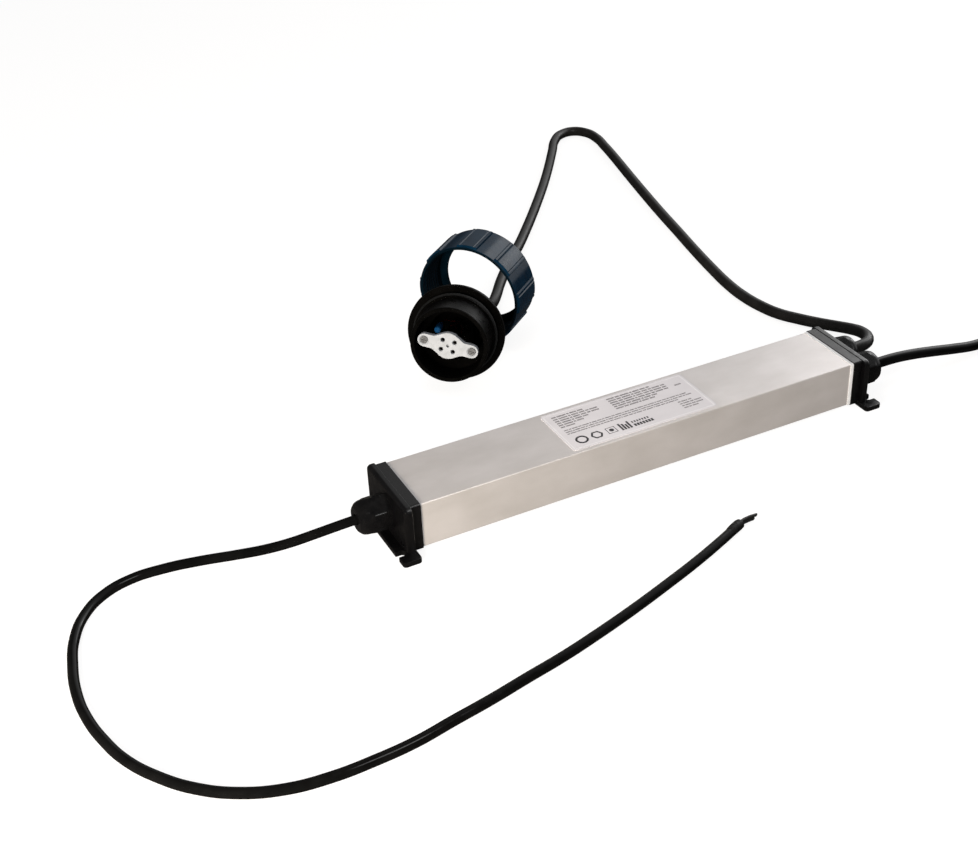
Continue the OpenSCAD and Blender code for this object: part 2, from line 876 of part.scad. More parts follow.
film_at = [0.212 * board_len, near_edge + 14.7, board_top];
film_size = [18, 8.5, 15];

module suppression_capacitor() {
    color("gold")
        translate(film_at)
            linear_extrude(film_size[2])
                round_rect(film_size[0], film_size[1], 1);
}

rectifier_at = [0.1455 * board_len, near_edge + 16.7, board_top];

module bridge_rectifier() {
    color("dimgray")
        translate(rectifier_at) {
            translate([-7.5, -1.75, 3])
                cube([15, 3.5, 11]);
            for (i = [0 : 3])
                translate([-5.7 + i * 3.8 - 0.4, -0.4, 0])
                    cube([0.8, 0.8, 3.5]);
        }
}

// Bulk capacitor lying on the board, with a bead around its sleeve
bulk_r = 9;
bulk_len = 31;
bulk_at = [0, near_edge + 20.7, board_top + bulk_r];

module bulk_capacitor() {
    color("navy")
        translate(bulk_at)
            rotate([0, 90, 0])
                rotate_extrude()
                    polygon([[0, 0], [bulk_r - 0.6, 0], [bulk_r, 0.6], [bulk_r, 3.5], [bulk_r - 0.7, 4.2],
                        [bulk_r - 0.7, 4.8], [bulk_r, 5.5], [bulk_r, bulk_len - 0.6],
                        [bulk_r - 0.6, bulk_len], [0, bulk_len]]);
}

// Heat sink: an angle along the far side, with two transistors on its inner face
sink_x = -0.2364 * board_len;
sink_len = 64;
sink_h = 20;
sink_y = far_edge - 6.2;
sink_t = 2.5;

module heat_sink() {
    color("silver")
        translate([sink_x, 0, board_top]) {
            translate([0, sink_y, 0])
                cube([sink_len, sink_t, sink_h]);
            translate([0, sink_y - 6, 0])
                cube([sink_len, 6.5, 1.5]);
        }
}

module transistor(x) {
    tab_y = sink_y - 1.3;
    color("dimgray")
        translate([x, 0, board_top]) {
            difference() {
                translate([-5, tab_y, 5])
                    cube([10, 1.3, 14.5]);
                translate([0, tab_y + 3, 16.5])
                    rotate([90, 0, 0])
                        cylinder(d = 3.6, h = 6);
            }
            translate([-5, tab_y - 3.2, 5])
                cube([10, 3.3, 9]);
            for (i = [-1 : 1])
                translate([i * 2.54 - 0.4, tab_y - 1.8, 1.5])
                    cube([0.8, 0.6, 4]);
        }
}

module transistor_1() {
    transistor(sink_x + sink_len * 0.25);
}

module transistor_2() {
    transistor(sink_x + sink_len * 0.75);
}

// Lamp side: the series inductor and its resonant capacitor
inductor_at = [-0.1455 * board_len, near_edge + 22.7, board_top];
inductor_size = [34, 12, 21];

module inductor_core() {
    color("dimgray")
        translate(inductor_at)
            e_core(inductor_size[0], inductor_size[1], inductor_size[2]);
}

module inductor_winding() {
    color("peru")
        translate(inductor_at)
            e_winding(inductor_size[0], inductor_size[1], inductor_size[2]);
}

resonant_at = [-0.279 * board_len, near_edge + 18.7, board_top];
resonant_size = [16, 7, 13];

module resonant_capacitor() {
    color("firebrick")
        translate(resonant_at)
            linear_extrude(resonant_size[2])
                round_rect(resonant_size[0], resonant_size[1], 1);
}

// Control lead with its two bare cores at the end
module control_lead() {
    color("black")
        tube(control_run, control_d);
}

module control_ends() {
    color("dimgray")
        for (s = [-1, 1])
            translate([0, 0, s * (core_d / 2 + 0.05) + (s < 0 ? 0.1 : 0.2)])
                tube(control_end_run, core_d * 0.95, 8);
}

// Mains lead: the run to the coil and the tail from the coil to the plug
module mains_lead() {
    color("black") {
        tube(mains_run, mains_d);
        tube(tail_run, mains_d);
    }
}

// The unseen length of the mains lead, in five turns on two layers
module coil_section() {
    for (c = coil_rings)
        translate([coil_mean_r + c[0] * mains_d, c[1] * layer_rise])
            circle(d = mains_d);
    polygon([[coil_mean_r - mains_d, 0], [coil_mean_r + mains_d, 0],
        [coil_mean_r + mains_d / 2, layer_rise], [coil_mean_r - mains_d / 2, layer_rise]]);
}

module mains_coil() {
    color("black")
        translate([coil_at[0], coil_at[1], coil_low_z])
            rotate_extrude()
                coil_section();
}

// Two straps that hold the coil
module coil_ties() {
    inner_w = 3 * mains_d + 0.4;
    inner_h = 2 * mains_d * 0.933 + 0.4;
    color("dimgray")
        for (a = [35, 215])
            translate([coil_at[0], coil_at[1], 0])
                rotate([0, 0, a])
                    translate([coil_mean_r, tie_w / 2, tie_t + inner_h / 2 - 0.1])
                        rotate([90, 0, 0])
                            linear_extrude(tie_w)
                                difference() {
                                    round_rect(inner_w + 2 * tie_t - 0.2, inner_h + 2 * tie_t - 0.2, 4);
                                    round_rect(inner_w, inner_h, 3.6);
                                }
}

// Plug, drawn along Z from the tip of its strain relief to its face
module on_plug() {
    translate([plug_at[0], plug_at[1], plug_d / 2])
        rotate([0, 0, plug_turn])
            rotate([0, 90, 0])
                children();
}

module plug_body() {
    r = plug_d / 2;
    body_z = relief_len;
    color("black")
        on_plug()
            difference() {
                rotate_extrude()
                    polygon([[mains_d / 2 + slack, -10], [mains_d / 2 + 1.6, -10],
                        [mains_d / 2 + 3.4, body_z - 14], [r * 0.62, body_z - 6], [r - 3, body_z + 3],
                        [r, body_z + 9], [r, body_z + plug_len - 1], [r - 1, body_z + plug_len],
                        [0, body_z + plug_len], [0, 2.1], [mains_d / 2 + slack, 2.1]]);
                for (s = [-1, 1]) {
                    translate([-2.5, s * r - 1.5, body_z + plug_len - 14])
                        cube([5, 3, 14 + cut]);
                    translate([0, s * pin_pitch / 2, body_z + plug_len - 8])
                        cylinder(d = pin_d + 2 * slack, h = 8 + cut);
                }
                for (k = [0 : 3])
                    translate([0, 0, k * 4 - 4])
                        difference() {
                            cylinder(r = 12, h = 1.2);
                            translate([0, 0, -cut])
                                cylinder(r = mains_d / 2 + 1.3, h = 1.2 + 2 * cut);
                        }
            }
}

module plug_pins() {
    body_z = relief_len;
    color("silver")
        on_plug()
            for (s = [-1, 1]) {
                translate([0, s * pin_pitch / 2, body_z + plug_len - 8])
                    cylinder(d = pin_d, h = 8 + pin_len - pin_d / 2);
                translate([0, s * pin_pitch / 2, body_z + plug_len + pin_len - pin_d / 2])
                    sphere(d = pin_d);
                translate([-2, s * (plug_d / 2 - 1.1) - 0.4, body_z + plug_len - 13.9])
                    cube([4, 0.8, 13.9]);
            }
}

// Lamp lead
module lamp_lead() {
    color("black")
        tube(lamp_run, lamp_d);
}

// Lamp holder pieces, drawn with the front rim at z = 0 and the lead leaving towards -Z
module on_holder() {
    translate(holder_at)
        rotate([90 - holder_tilt, 0, holder_turn])
            children();
}

// Turns and shifts what belongs to the socket, which sits a little off the holder's middle
module at_socket() {
    translate(socket_shift)
        rotate([0, 0, socket_turn])
            children();
}

module holder_cup() {
    r = cup_d / 2;
    flange_r = flange_d / 2;
    inner_r = r - cup_wall;
    stub_len = gland_nut_len - stub_inset;
    color("dimgray")
        on_holder()
            difference() {
                union() {
                    rotate_extrude()
                        polygon([[gland_bore_r, -neck_at - stub_len], [stub_r, -neck_at - stub_len],
                            [stub_r, -neck_at], [neck_r, -neck_at], [neck_r, -neck_at + 3],
                            [neck_r + 4, -neck_at + 6], [rear_r - 6, -flange_at - 12],
                            [rear_r - 1.5, -flange_at - 6], [rear_r, -flange_at],
                            [flange_r - 0.6, -flange_at], [flange_r, -flange_at + 0.6],
                            [flange_r, -flange_at + flange_t - 0.6],
                            [flange_r - 0.6, -flange_at + flange_t],
                            [shoulder_r, -flange_at + flange_t], [shoulder_r, groove_z - seal_d - 0.2],
                            [groove_r, groove_z - seal_d - 0.2], [groove_r, groove_z],
                            [shoulder_r, groove_z],
                            [shoulder_r - 0.6, -shoulder_at], [r, -shoulder_at], [r, -1.2], [r - 0.4, -0.4],
                            [r - 1.2, 0], [inner_r + 0.5, 0], [inner_r, -0.5], [inner_r, shelf_z],
                            [well_r, shelf_z], [well_r, well_z], [well_r - 8, well_z - 8],
                            [gland_bore_r, well_z - 9]]);
                    at_socket()
                        for (s = [-1, 1])
                            translate([s * ear_pitch / 2, 0, well_z - 3])
                                cylinder(r = post_r, h = 3 - well_z - ear_t - 0.05);
                }
                at_socket()
                    for (s = [-1, 1])
                        translate([s * ear_pitch / 2, 0, -20])
                            cylinder(r = 1.35, h = 20);
            }
}

module holder_seal() {
    color("black")
        on_holder()
            translate([0, 0, groove_z - (seal_d + 0.2) / 2])
                rotate_extrude()
                    translate([groove_r + seal_d / 2 + 0.05, 0])
                        circle(d = seal_d);
}

// Places a gland piece on the holder's neck, pointing backwards
module on_neck() {
    on_holder()
        translate([0, 0, -neck_at])
            rotate([180, 0, 0])
                children();
}

module holder_gland_seal() {
    on_neck()
        gland_seal(lamp_d, gland_nut_len);
}

module holder_gland_nut() {
    on_neck()
        gland_nut(lamp_d, gland_nut_len);
}

// Lamp socket: white ceramic with two ears, four pin holes and a keying hole
module socket_outline() {
    circle(d = socket_d);
    for (s = [-1, 1]) {
        translate([s * (socket_len / 2 - ear_w / 2), 0])
            circle(d = ear_w);
        translate([s * (socket_len - ear_w) / 4, 0])
            square([(socket_len - ear_w) / 2, ear_w], center = true);
        polygon([[0, -socket_d * 0.42], [s * socket_d * 0.27, -socket_d * 0.42],
            [s * socket_d * 0.56, -ear_w / 2], [s * socket_d * 0.56, ear_w / 2],
            [s * socket_d * 0.27, socket_d * 0.42], [0, socket_d * 0.42]]);
    }
}

head_seat = 2.2;

module lamp_socket() {
    chamber_r = 1.95;
    color("white")
        on_holder()
            at_socket()
                difference() {
                    union() {
                        translate([0, 0, -ear_t])
                            linear_extrude(ear_t)
                                socket_outline();
                        translate([0, 0, -socket_depth])
                            cylinder(d = socket_d - 1, h = socket_depth - 1);
                    }
                    for (sx = [-1, 1])
                        for (sy = [-1, 1])
                            translate([sx * pin_pitch_x / 2, sy * pin_pitch_y / 2, 0]) {
                                translate([0, 0, -socket_depth - cut])
                                    cylinder(r = chamber_r, h = socket_depth - 2.2);
                                translate([0, 0, -6])
                                    cylinder(d = pin_hole_d, h = 7);
                                translate([0, 0, -0.4])
                                    cylinder(d1 = pin_hole_d, d2 = pin_hole_d + 1, h = 0.5);
                            }
                    translate([0, 0, -3])
                        cylinder(d = 2.4, h = 4);
                    for (s = [-1, 1])
                        translate([s * ear_pitch / 2, 0, 0]) {
                            translate([0, 0, -ear_t - cut])
                                cylinder(r = 1.7, h = ear_t + 2 * cut);
                            translate([0, 0, -head_seat])
                                cylinder(r = 3.1, h = 4);
                            translate([0, 0, -0.9])
                                cylinder(r1 = 3.1, r2 = 4.1, h = 1);
                        }
                }
}

module socket_screws() {
    color("silver")
        on_holder()
            at_socket()
                for (s = [-1, 1])
                    translate([s * ear_pitch / 2, 0, -head_seat])
                        difference() {
                            union() {
                                cylinder(r = 2.8, h = 1.6);
                                translate([0, 0, -14])
                                    cylinder(r = 1.3, h = 15);
                            }
                            for (a = [0, 90])
                                rotate([0, 0, a])
                                    translate([-1.8, -0.35, 0.8])
                                        cube([3.6, 0.7, 2]);
                        }
}

module socket_contacts() {
    color("goldenrod")
        on_holder()
            at_socket()
                for (sx = [-1, 1])
                    for (sy = [-1, 1])
                        translate([sx * pin_pitch_x / 2, sy * pin_pitch_y / 2, 0]) {
                            difference() {
                                translate([0, 0, -socket_depth + 0.5])
                                    cylinder(r = 1.85, h = socket_depth - 4);
                                translate([0, 0, -socket_depth + 2])
                                    cylinder(r = 1.25, h = socket_depth);
                            }
                            translate([0, 0, -socket_depth - 3])
                                cylinder(r = 0.8, h = 4);
                        }
}

// Wires from the contacts to the lamp lead, and a spliced wire beside the socket
splice_at = [-9.7, 10];
splice_len = 13;
splice_z = -18.4;
wire_end_z = -47.4;

module socket_wires() {
    wire_d = 1.9;
    color("saddlebrown")
        on_holder() {
            at_socket()
                for (sx = [-1, 1])
                    for (sy = [-1, 1])
                        tube([[sx * pin_pitch_x / 2, sy * pin_pitch_y / 2, -socket_depth - 3.25],
                            [sx * 5.2, sy * 4.6, -24], [sx * 5, sy * 4.6, -31],
                            [sx * 2.6, sy * 2.8, -40], [sx * 1.7, sy * 1.7, wire_end_z]], wire_d, 6);
            tube([[splice_at[0], splice_at[1], splice_z - 0.05], [splice_at[0] - 0.5, splice_at[1], -25],
                [-8.6, 9.6, -31], [-4, 6.5, -38], [-0.5, 4, -43], [-0.1, 3.6, wire_end_z]], wire_d * 0.6, 6);
        }
}

module wire_splice() {
    color("royalblue")
        on_holder()
            translate([splice_at[0], splice_at[1], splice_z])
                rotate_extrude()
                    polygon([[0, 0], [1.6, 0], [2.6, 1.5], [2.6, splice_len - 1], [2.2, splice_len],
                        [0, splice_len]]);
}

// Union nut: grip pads outside, thread bore inside, and a lip that pulls on the holder's flange
module union_nut() {
    r = union_d / 2;
    bore_r = union_bore_d / 2;
    color("midnightblue")
        translate(union_at)
            rotate([90, 0, union_turn]) {
                rotate_extrude()
                    polygon([[bore_r + 0.6, 0], [r - 1, 0], [r, 1], [r, union_len - 1], [r - 1, union_len],
                        [lip_d / 2, union_len], [lip_d / 2, union_len - lip_t],
                        [bore_r, union_len - lip_t], [bore_r, 0.6]]);
                for (k = [0 : pad_count - 1])
                    rotate([0, 0, 360 * k / pad_count - 90 - pad_angle / 2])
                        rotate_extrude(angle = pad_angle)
                            polygon([[r - 0.5, 1.2], [r, 1.2], [r + pad_h, 2.2],
                                [r + pad_h, union_len - 2.2], [r, union_len - 1.2],
                                [r - 0.5, union_len - 1.2]]);
            }
}

housing();
gasket_left();
gasket_right();
end_cap_left();
end_cap_right();
cap_screws();
label();
control_gland_body();
control_gland_seal();
control_gland_nut();
control_gland_locknut();
mains_gland_body();
mains_gland_seal();
mains_gland_nut();
mains_gland_locknut();
lamp_gland_body();
lamp_gland_seal();
lamp_gland_nut();
lamp_gland_locknut();
circuit_board();
insulating_tray();
mains_terminal();
lamp_terminal();
control_terminal();
mains_cores();
lamp_cores();
control_cores();
fuse();
fuse_clips();
choke_core();
choke_winding();
suppression_capacitor();
bridge_rectifier();
bulk_capacitor();
heat_sink();
transistor_1();
transistor_2();
inductor_core();
inductor_winding();
resonant_capacitor();
control_lead();
control_ends();
mains_lead();
mains_coil();
coil_ties();
plug_body();
plug_pins();
lamp_lead();
holder_cup();
holder_seal();
holder_gland_seal();
holder_gland_nut();
lamp_socket();
socket_screws();
socket_contacts();
socket_wires();
wire_splice();
union_nut();
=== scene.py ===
import math

import bmesh
import bpy
from mathutils import Matrix, Vector


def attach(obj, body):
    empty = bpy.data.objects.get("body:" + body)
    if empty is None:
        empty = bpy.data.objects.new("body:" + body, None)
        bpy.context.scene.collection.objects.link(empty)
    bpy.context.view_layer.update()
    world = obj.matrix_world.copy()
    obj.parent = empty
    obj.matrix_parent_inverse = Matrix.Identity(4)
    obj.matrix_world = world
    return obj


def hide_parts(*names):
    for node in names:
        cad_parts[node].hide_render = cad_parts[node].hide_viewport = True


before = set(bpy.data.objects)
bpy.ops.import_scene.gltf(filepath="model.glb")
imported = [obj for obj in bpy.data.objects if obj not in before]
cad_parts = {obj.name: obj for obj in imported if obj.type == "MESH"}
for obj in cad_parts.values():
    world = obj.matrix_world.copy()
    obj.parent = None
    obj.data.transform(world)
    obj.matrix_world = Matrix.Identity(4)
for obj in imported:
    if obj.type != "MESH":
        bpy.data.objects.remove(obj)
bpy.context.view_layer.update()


# Housing: an aluminium tube, extruded with the board rails and the two screw channels inside it.
# It is sawn to 351 mm and keeps its satin skin, with faint lines along it and stains from handling.

def shade(red, green, blue):
    """A colour as it looks on a screen, in the values that a shader takes."""
    return tuple(c / 12.92 if c <= 0.04045 else ((c + 0.055) / 1.055) ** 2.4 for c in (red, green, blue))


def add_node(tree, kind, settings, **features):
    """A shader node with these features. Its inputs get constants, or outputs of other nodes."""
    node = tree.nodes.new("ShaderNode" + kind)
    for feature, value in features.items():
        setattr(node, feature, value)
    for name, value in settings.items():
        if isinstance(value, bpy.types.NodeSocket):
            tree.links.new(value, node.inputs[name])
        else:
            node.inputs[name].default_value = value
    return node


def new_finish(name, roughness=0.5, metallic=0.0, gloss=0.5):
    """A plain finish, which gets its colours, polish and relief from patterns."""
    finish = bpy.data.materials.new(name)
    finish.use_nodes = True
    shader = finish.node_tree.nodes["Principled BSDF"]
    shader.inputs["Roughness"].default_value = roughness
    shader.inputs["Metallic"].default_value = metallic
    shader.inputs["Specular IOR Level"].default_value = gloss
    return finish


def grain(finish, size, stretch=(1, 1, 1), detail=3.0):
    """Grains of a size in metres, drawn out by stretch along X, Y and Z."""
    tree = finish.node_tree
    where = add_node(tree, "TexCoord", {}).outputs["Object"]
    fit = add_node(tree, "Mapping", {"Vector": where, "Scale": [1 / (size * s) for s in stretch]})
    noise = add_node(tree, "TexNoise", {"Vector": fit.outputs["Vector"], "Scale": 1, "Detail": detail})
    return noise.outputs["Fac"]


def apply_to(finish, channel, result):
    """Drives one channel of the finish with a result."""
    finish.node_tree.links.new(result, finish.node_tree.nodes["Principled BSDF"].inputs[channel])


def drift(finish, pattern, dark, light, low=0.3, high=0.7):
    """Lets the colour drift between two shades with a pattern."""
    ramp = add_node(finish.node_tree, "ValToRGB", {"Fac": pattern})
    for stop, place, colour in zip(ramp.color_ramp.elements, (low, high), (dark, light)):
        stop.position, stop.color = place, (*colour, 1)
    apply_to(finish, "Base Color", ramp.outputs["Color"])


def mottled(name, size, dark, light, stretch=(1, 1, 1), detail=3.0, **features):
    """A finish whose colour drifts between two shades, with grains of a size in metres."""
    finish = new_finish(name, **features)
    drift(finish, grain(finish, size, stretch, detail), dark, light)
    return finish


def polish(finish, size, smooth, rough, stretch=(1, 1, 1)):
    """Lets the roughness wander between two values, with grains of a size in metres."""
    spread = add_node(finish.node_tree, "MapRange", {
        "Value": grain(finish, size, stretch), "From Min": 0.3, "From Max": 0.7,
        "To Min": smooth, "To Max": rough})
    apply_to(finish, "Roughness", spread.outputs["Result"])


def raise_by(finish, pattern, height):
    """Raises the surface with a pattern, by a height in metres, over what is raised already."""
    bump = add_node(finish.node_tree, "Bump", {"Height": pattern, "Distance": height, "Strength": 1.0})
    normal = finish.node_tree.nodes["Principled BSDF"].inputs["Normal"]
    if normal.is_linked:
        finish.node_tree.links.new(normal.links[0].from_socket, bump.inputs["Normal"])
    apply_to(finish, "Normal", bump.outputs["Normal"])


def emboss(finish, size, height, stretch=(1, 1, 1), detail=3.0):
    """Raises the surface with grains of a size in metres."""
    raise_by(finish, grain(finish, size, stretch, detail), height)


def dress(finish, *nodes):
    """Gives this finish to CAD pieces that keep their own shape."""
    for node in nodes:
        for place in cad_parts[node].material_slots:
            place.material = finish


satin_aluminium = mottled("satin_aluminium", 0.022, shade(0.83, 0.81, 0.80), shade(0.885, 0.865, 0.86),
                          stretch=(1.8, 1, 1), detail=5.0, metallic=0.55)
polish(satin_aluminium, 0.02, 0.30, 0.42, stretch=(3, 1, 1))
emboss(satin_aluminium, 0.0012, 0.000006, stretch=(150, 1, 1), detail=2.0)
emboss(satin_aluminium, 0.03, 0.00005, stretch=(4, 1, 1), detail=1.0)
dress(satin_aluminium, "housing")


# Circuit board and tray: a green glass-epoxy board slides into the rails, over a folded tray of
# insulating board that keeps its solder side off the metal. The copper shows as paler lanes.

solder_mask = new_finish("green_solder_mask", 0.35)
drift(solder_mask, grain(solder_mask, 0.003, stretch=(3, 1, 1), detail=0.0), shade(0.07, 0.30, 0.17),
      shade(0.13, 0.45, 0.26), low=0.48, high=0.52)
emboss(solder_mask, 0.003, 0.00006, stretch=(3, 1, 1), detail=0.0)
dress(solder_mask, "circuit_board")

press_board = mottled("insulating_board", 0.0015, shade(0.80, 0.75, 0.60), shade(0.89, 0.85, 0.72),
                      stretch=(4, 1, 1), roughness=0.7)
emboss(press_board, 0.0006, 0.00004)
dress(press_board, "insulating_tray")


# Terminals: moulded blocks of green polyamide soldered to the board, for three mains cores at the
# right end, four lamp cores beside them and two control cores at the left end.

terminal_green = mottled(
    "terminal_green", 0.004, shade(0.14, 0.43, 0.24), shade(0.18, 0.50, 0.30), roughness=0.42)
emboss(terminal_green, 0.0003, 0.00001)
dress(terminal_green, "mains_terminal", "lamp_terminal", "control_terminal")


# Mains input: a glass fuse in two sprung clips, a choke on a ferrite core, a film capacitor across
# the line and a bridge rectifier on four pins. All are soldered into the board.

def band(finish, axis, centre, half_width, edge=0.0001):
    """1 within half_width of a place on one axis and 0 outside it, with a narrow edge."""
    tree = finish.node_tree
    split = add_node(tree, "SeparateXYZ", {"Vector": add_node(tree, "TexCoord", {}).outputs["Object"]})
    away = add_node(tree, "Math", {0: split.outputs[axis], 1: centre}, operation="SUBTRACT")
    size = add_node(tree, "Math", {0: away.outputs["Value"]}, operation="ABSOLUTE")
    inside = add_node(tree, "MapRange", {"Value": size.outputs["Value"], "From Min": half_width,
                                         "From Max": half_width + edge, "To Min": 1, "To Max": 0})
    return inside.outputs["Result"]


def coils_of_wire(finish, axis, pitch):
    """Rows of wound wire, a pitch in metres apart along one axis."""
    where = add_node(finish.node_tree, "TexCoord", {}).outputs["Object"]
    rows = add_node(finish.node_tree, "TexWave", {"Vector": where, "Scale": 0.314 / pitch, "Distortion": 0.3},
                    bands_direction=axis)
    return rows.outputs["Fac"]


fuse_glass = new_finish("fuse_glass")
glass_part = band(fuse_glass, "X", 0.126, 0.005)
drift(fuse_glass, glass_part, shade(0.74, 0.74, 0.72), shade(0.80, 0.84, 0.82), low=0.0, high=1.0)
polish(fuse_glass, 0.002, 0.10, 0.20)
dress(fuse_glass, "fuse")

tinned_brass = mottled("tinned_brass", 0.003, shade(0.76, 0.66, 0.42), shade(0.87, 0.80, 0.60), metallic=1.0)
polish(tinned_brass, 0.0012, 0.22, 0.42)
dress(tinned_brass, "fuse_clips")

ferrite = mottled("ferrite", 0.002, shade(0.16, 0.15, 0.15), shade(0.24, 0.23, 0.22), roughness=0.6)
emboss(ferrite, 0.0005, 0.00003)
dress(ferrite, "choke_core", "inductor_core")

copper_wire = new_finish("enamelled_copper", 0.3, metallic=0.8)
wound = coils_of_wire(copper_wire, "Z", 0.0006)
drift(copper_wire, wound, shade(0.45, 0.20, 0.08), shade(0.80, 0.46, 0.24), low=0.2, high=0.8)
raise_by(copper_wire, wound, 0.0002)
dress(copper_wire, "choke_winding", "inductor_winding")

film_yellow = mottled(
    "film_capacitor_yellow", 0.006, shade(0.84, 0.65, 0.12), shade(0.91, 0.74, 0.22), roughness=0.35)
emboss(film_yellow, 0.0008, 0.00001)
dress(film_yellow, "suppression_capacitor")

moulding_compound = mottled("moulding_compound", 0.001, shade(0.11, 0.11, 0.11), shade(0.16, 0.16, 0.16))
emboss(moulding_compound, 0.0004, 0.00002)
dress(moulding_compound, "bridge_rectifier", "transistor_1", "transistor_2")


# Inverter: a bulk capacitor lying on the board in its blue sleeve, two transistors clamped to an
# aluminium angle, the series inductor on its ferrite core and a resonant capacitor dipped in red.

capacitor_sleeve = new_finish("capacitor_sleeve")
drift(capacitor_sleeve, band(capacitor_sleeve, "Y", 0.0, 0.0022), shade(0.10, 0.18, 0.42),
      shade(0.75, 0.77, 0.80), low=0.0, high=1.0)
polish(capacitor_sleeve, 0.004, 0.22, 0.36)
dress(capacitor_sleeve, "bulk_capacitor")

mill_aluminium = mottled("mill_aluminium", 0.01, shade(0.76, 0.76, 0.77), shade(0.84, 0.84, 0.85),
                         stretch=(4, 1, 1), roughness=0.4, metallic=1.0)
emboss(mill_aluminium, 0.0006, 0.00001, stretch=(60, 1, 1))
dress(mill_aluminium, "heat_sink")

dipped_red = mottled("dipped_red", 0.005, shade(0.56, 0.13, 0.10), shade(0.68, 0.20, 0.15), roughness=0.28)
emboss(dipped_red, 0.003, 0.0001)
dress(dipped_red, "resonant_capacitor")


# Inner cores: single insulated wires, stripped of their sheath inside the caps, that run from the
# ends of the three leads to the clamps of their terminals.

def core_finish(name, colour):
    """Thin coloured insulation with a soft shine."""
    dark, light = tuple(c * 0.85 for c in colour), tuple(min(1, c * 1.12) for c in colour)
    finish = mottled(name, 0.004, dark, light)
    polish(finish, 0.002, 0.32, 0.45)
    return finish


brown_core = core_finish("brown_core", shade(0.36, 0.20, 0.12))
dress(brown_core, "mains_cores", "control_cores")
blue_core = core_finish("blue_core", shade(0.16, 0.36, 0.62))
dress(blue_core, "lamp_cores")


# Gaskets: frames of white silicone, cut from sheet and pinched between the tube and the caps.
# They swell out a little all round, which shows as a white line.

white_silicone = mottled("white_silicone", 0.006, shade(0.82, 0.82, 0.83), shade(0.875, 0.875, 0.88))
emboss(white_silicone, 0.001, 0.00002)
dress(white_silicone, "gasket_left", "gasket_right")


# End caps: moulded black polyamide, each with a frame against the gasket, a thick outer plate and
# a foot flange with two open screw slots. Tongues hold it in the tube, and two screws pull it home.

# How far along X the layers of a cap end, in metres from the middle of the part.
GASKET_END, FRAME_END, PLATE_END = 0.1771, 0.1846, 0.1904
CAP_WALL, AXIS_Z = 0.0038, 0.020
SCREW_Y, SCREW_Z = 0.02445, 0.00655
MAINS_Y, LAMP_Y = -0.0135, 0.0135


def eased(corners, steps=5):
    """An outline whose corners (x, y, radius) are turned into small arcs."""
    line = []
    for i, (x, y, radius) in enumerate(corners):
        corner = Vector((x, y))
        if radius <= 0:
            line.append(corner)
            continue
        to_back = Vector(corners[i - 1][:2]) - corner
        to_front = Vector(corners[(i + 1) % len(corners)][:2]) - corner
        half = to_back.angle(to_front) / 2
        reach = min(radius / math.tan(half), to_back.length * 0.49, to_front.length * 0.49)
        centre = corner + (to_back.normalized() + to_front.normalized()).normalized() * reach / math.cos(half)
        start = corner + to_back.normalized() * reach - centre
        turn = start.angle_signed(corner + to_front.normalized() * reach - centre)
        for k in range(steps + 1):
            angle = turn * k / steps
            line.append(centre + Matrix.Rotation(-angle, 2) @ start)
    return line


def lofted(rings):
    """A closed shell through rings of the same number of points, with flat ends."""
    sides, corners = len(rings[0]), [tuple(p) for ring in rings for p in ring]
    faces = [tuple(range(sides)), tuple(range(len(corners) - sides, len(corners)))]
    for i in range(len(rings) - 1):
        for k in range(sides):
            a, b = i * sides + k, i * sides + (k + 1) % sides
            faces.append((a, b, b + sides, a + sides))
    return corners, faces


def round_rectangle(width, height, radius):
    """The outline of a rectangle with round corners, about the origin."""
    w, h = width / 2, height / 2
    return eased([(-w, -h, radius), (w, -h, radius), (w, h, radius), (-w, h, radius)])


def slab_along_x(width, height, radius, middle_z, steps):
    """A round-cornered bar along X, through steps of (x, inset)."""
    rings = []
    for x, inset in steps:
        outline = round_rectangle(width - 2 * inset, height - 2 * inset, radius - inset)
        rings.append([(x, p.x, middle_z + p.y) for p in outline])
    return lofted(rings)


def circle(radius, sides, a=0.0, b=0.0):
    """Points round a circle about (a, b)."""
    turns = [math.tau * k / sides for k in range(sides)]
    return [(a + radius * math.cos(t), b + radius * math.sin(t)) for t in turns]


def rod_along_x(x0, x1, radius, y, z, sides=40):
    """A plain rod along X."""
    return lofted([[(x, a, b) for a, b in circle(radius, sides, y, z)] for x in (x0, x1)])


def in_scene(name, data):
    """A new object of this mesh, curve, light or camera."""
    made = bpy.data.objects.new(name, data)
    bpy.context.scene.collection.objects.link(made)
    return made


def blank(shell):
    """A loose mesh object of a shell, with its faces turned outwards."""
    mesh = bpy.data.meshes.new("blank")
    mesh.from_pydata([tuple(p) for p in shell[0]], [], shell[1])
    work = bmesh.new()
    work.from_mesh(mesh)
    bmesh.ops.recalc_face_normals(work, faces=work.faces)
    work.to_mesh(mesh)
    work.free()
    return in_scene("blank", mesh)


def fitted(body, joined=(), cut=()):
    """The shell of a body with other shells joined to it, and others cut out of it."""
    base, tools = blank(body), []
    for operation, shells in (("UNION", joined), ("DIFFERENCE", cut)):
        for shell in shells:
            tools.append(blank(shell))
            step = base.modifiers.new(operation, "BOOLEAN")
            step.operation, step.solver, step.object = operation, "EXACT", tools[-1]
    bpy.context.view_layer.update()
    made = base.evaluated_get(bpy.context.evaluated_depsgraph_get()).to_mesh()
    shell = [tuple(v.co) for v in made.vertices], [tuple(f.vertices) for f in made.polygons]
    for used in [base, *tools]:
        bpy.data.objects.remove(used)
    return shell


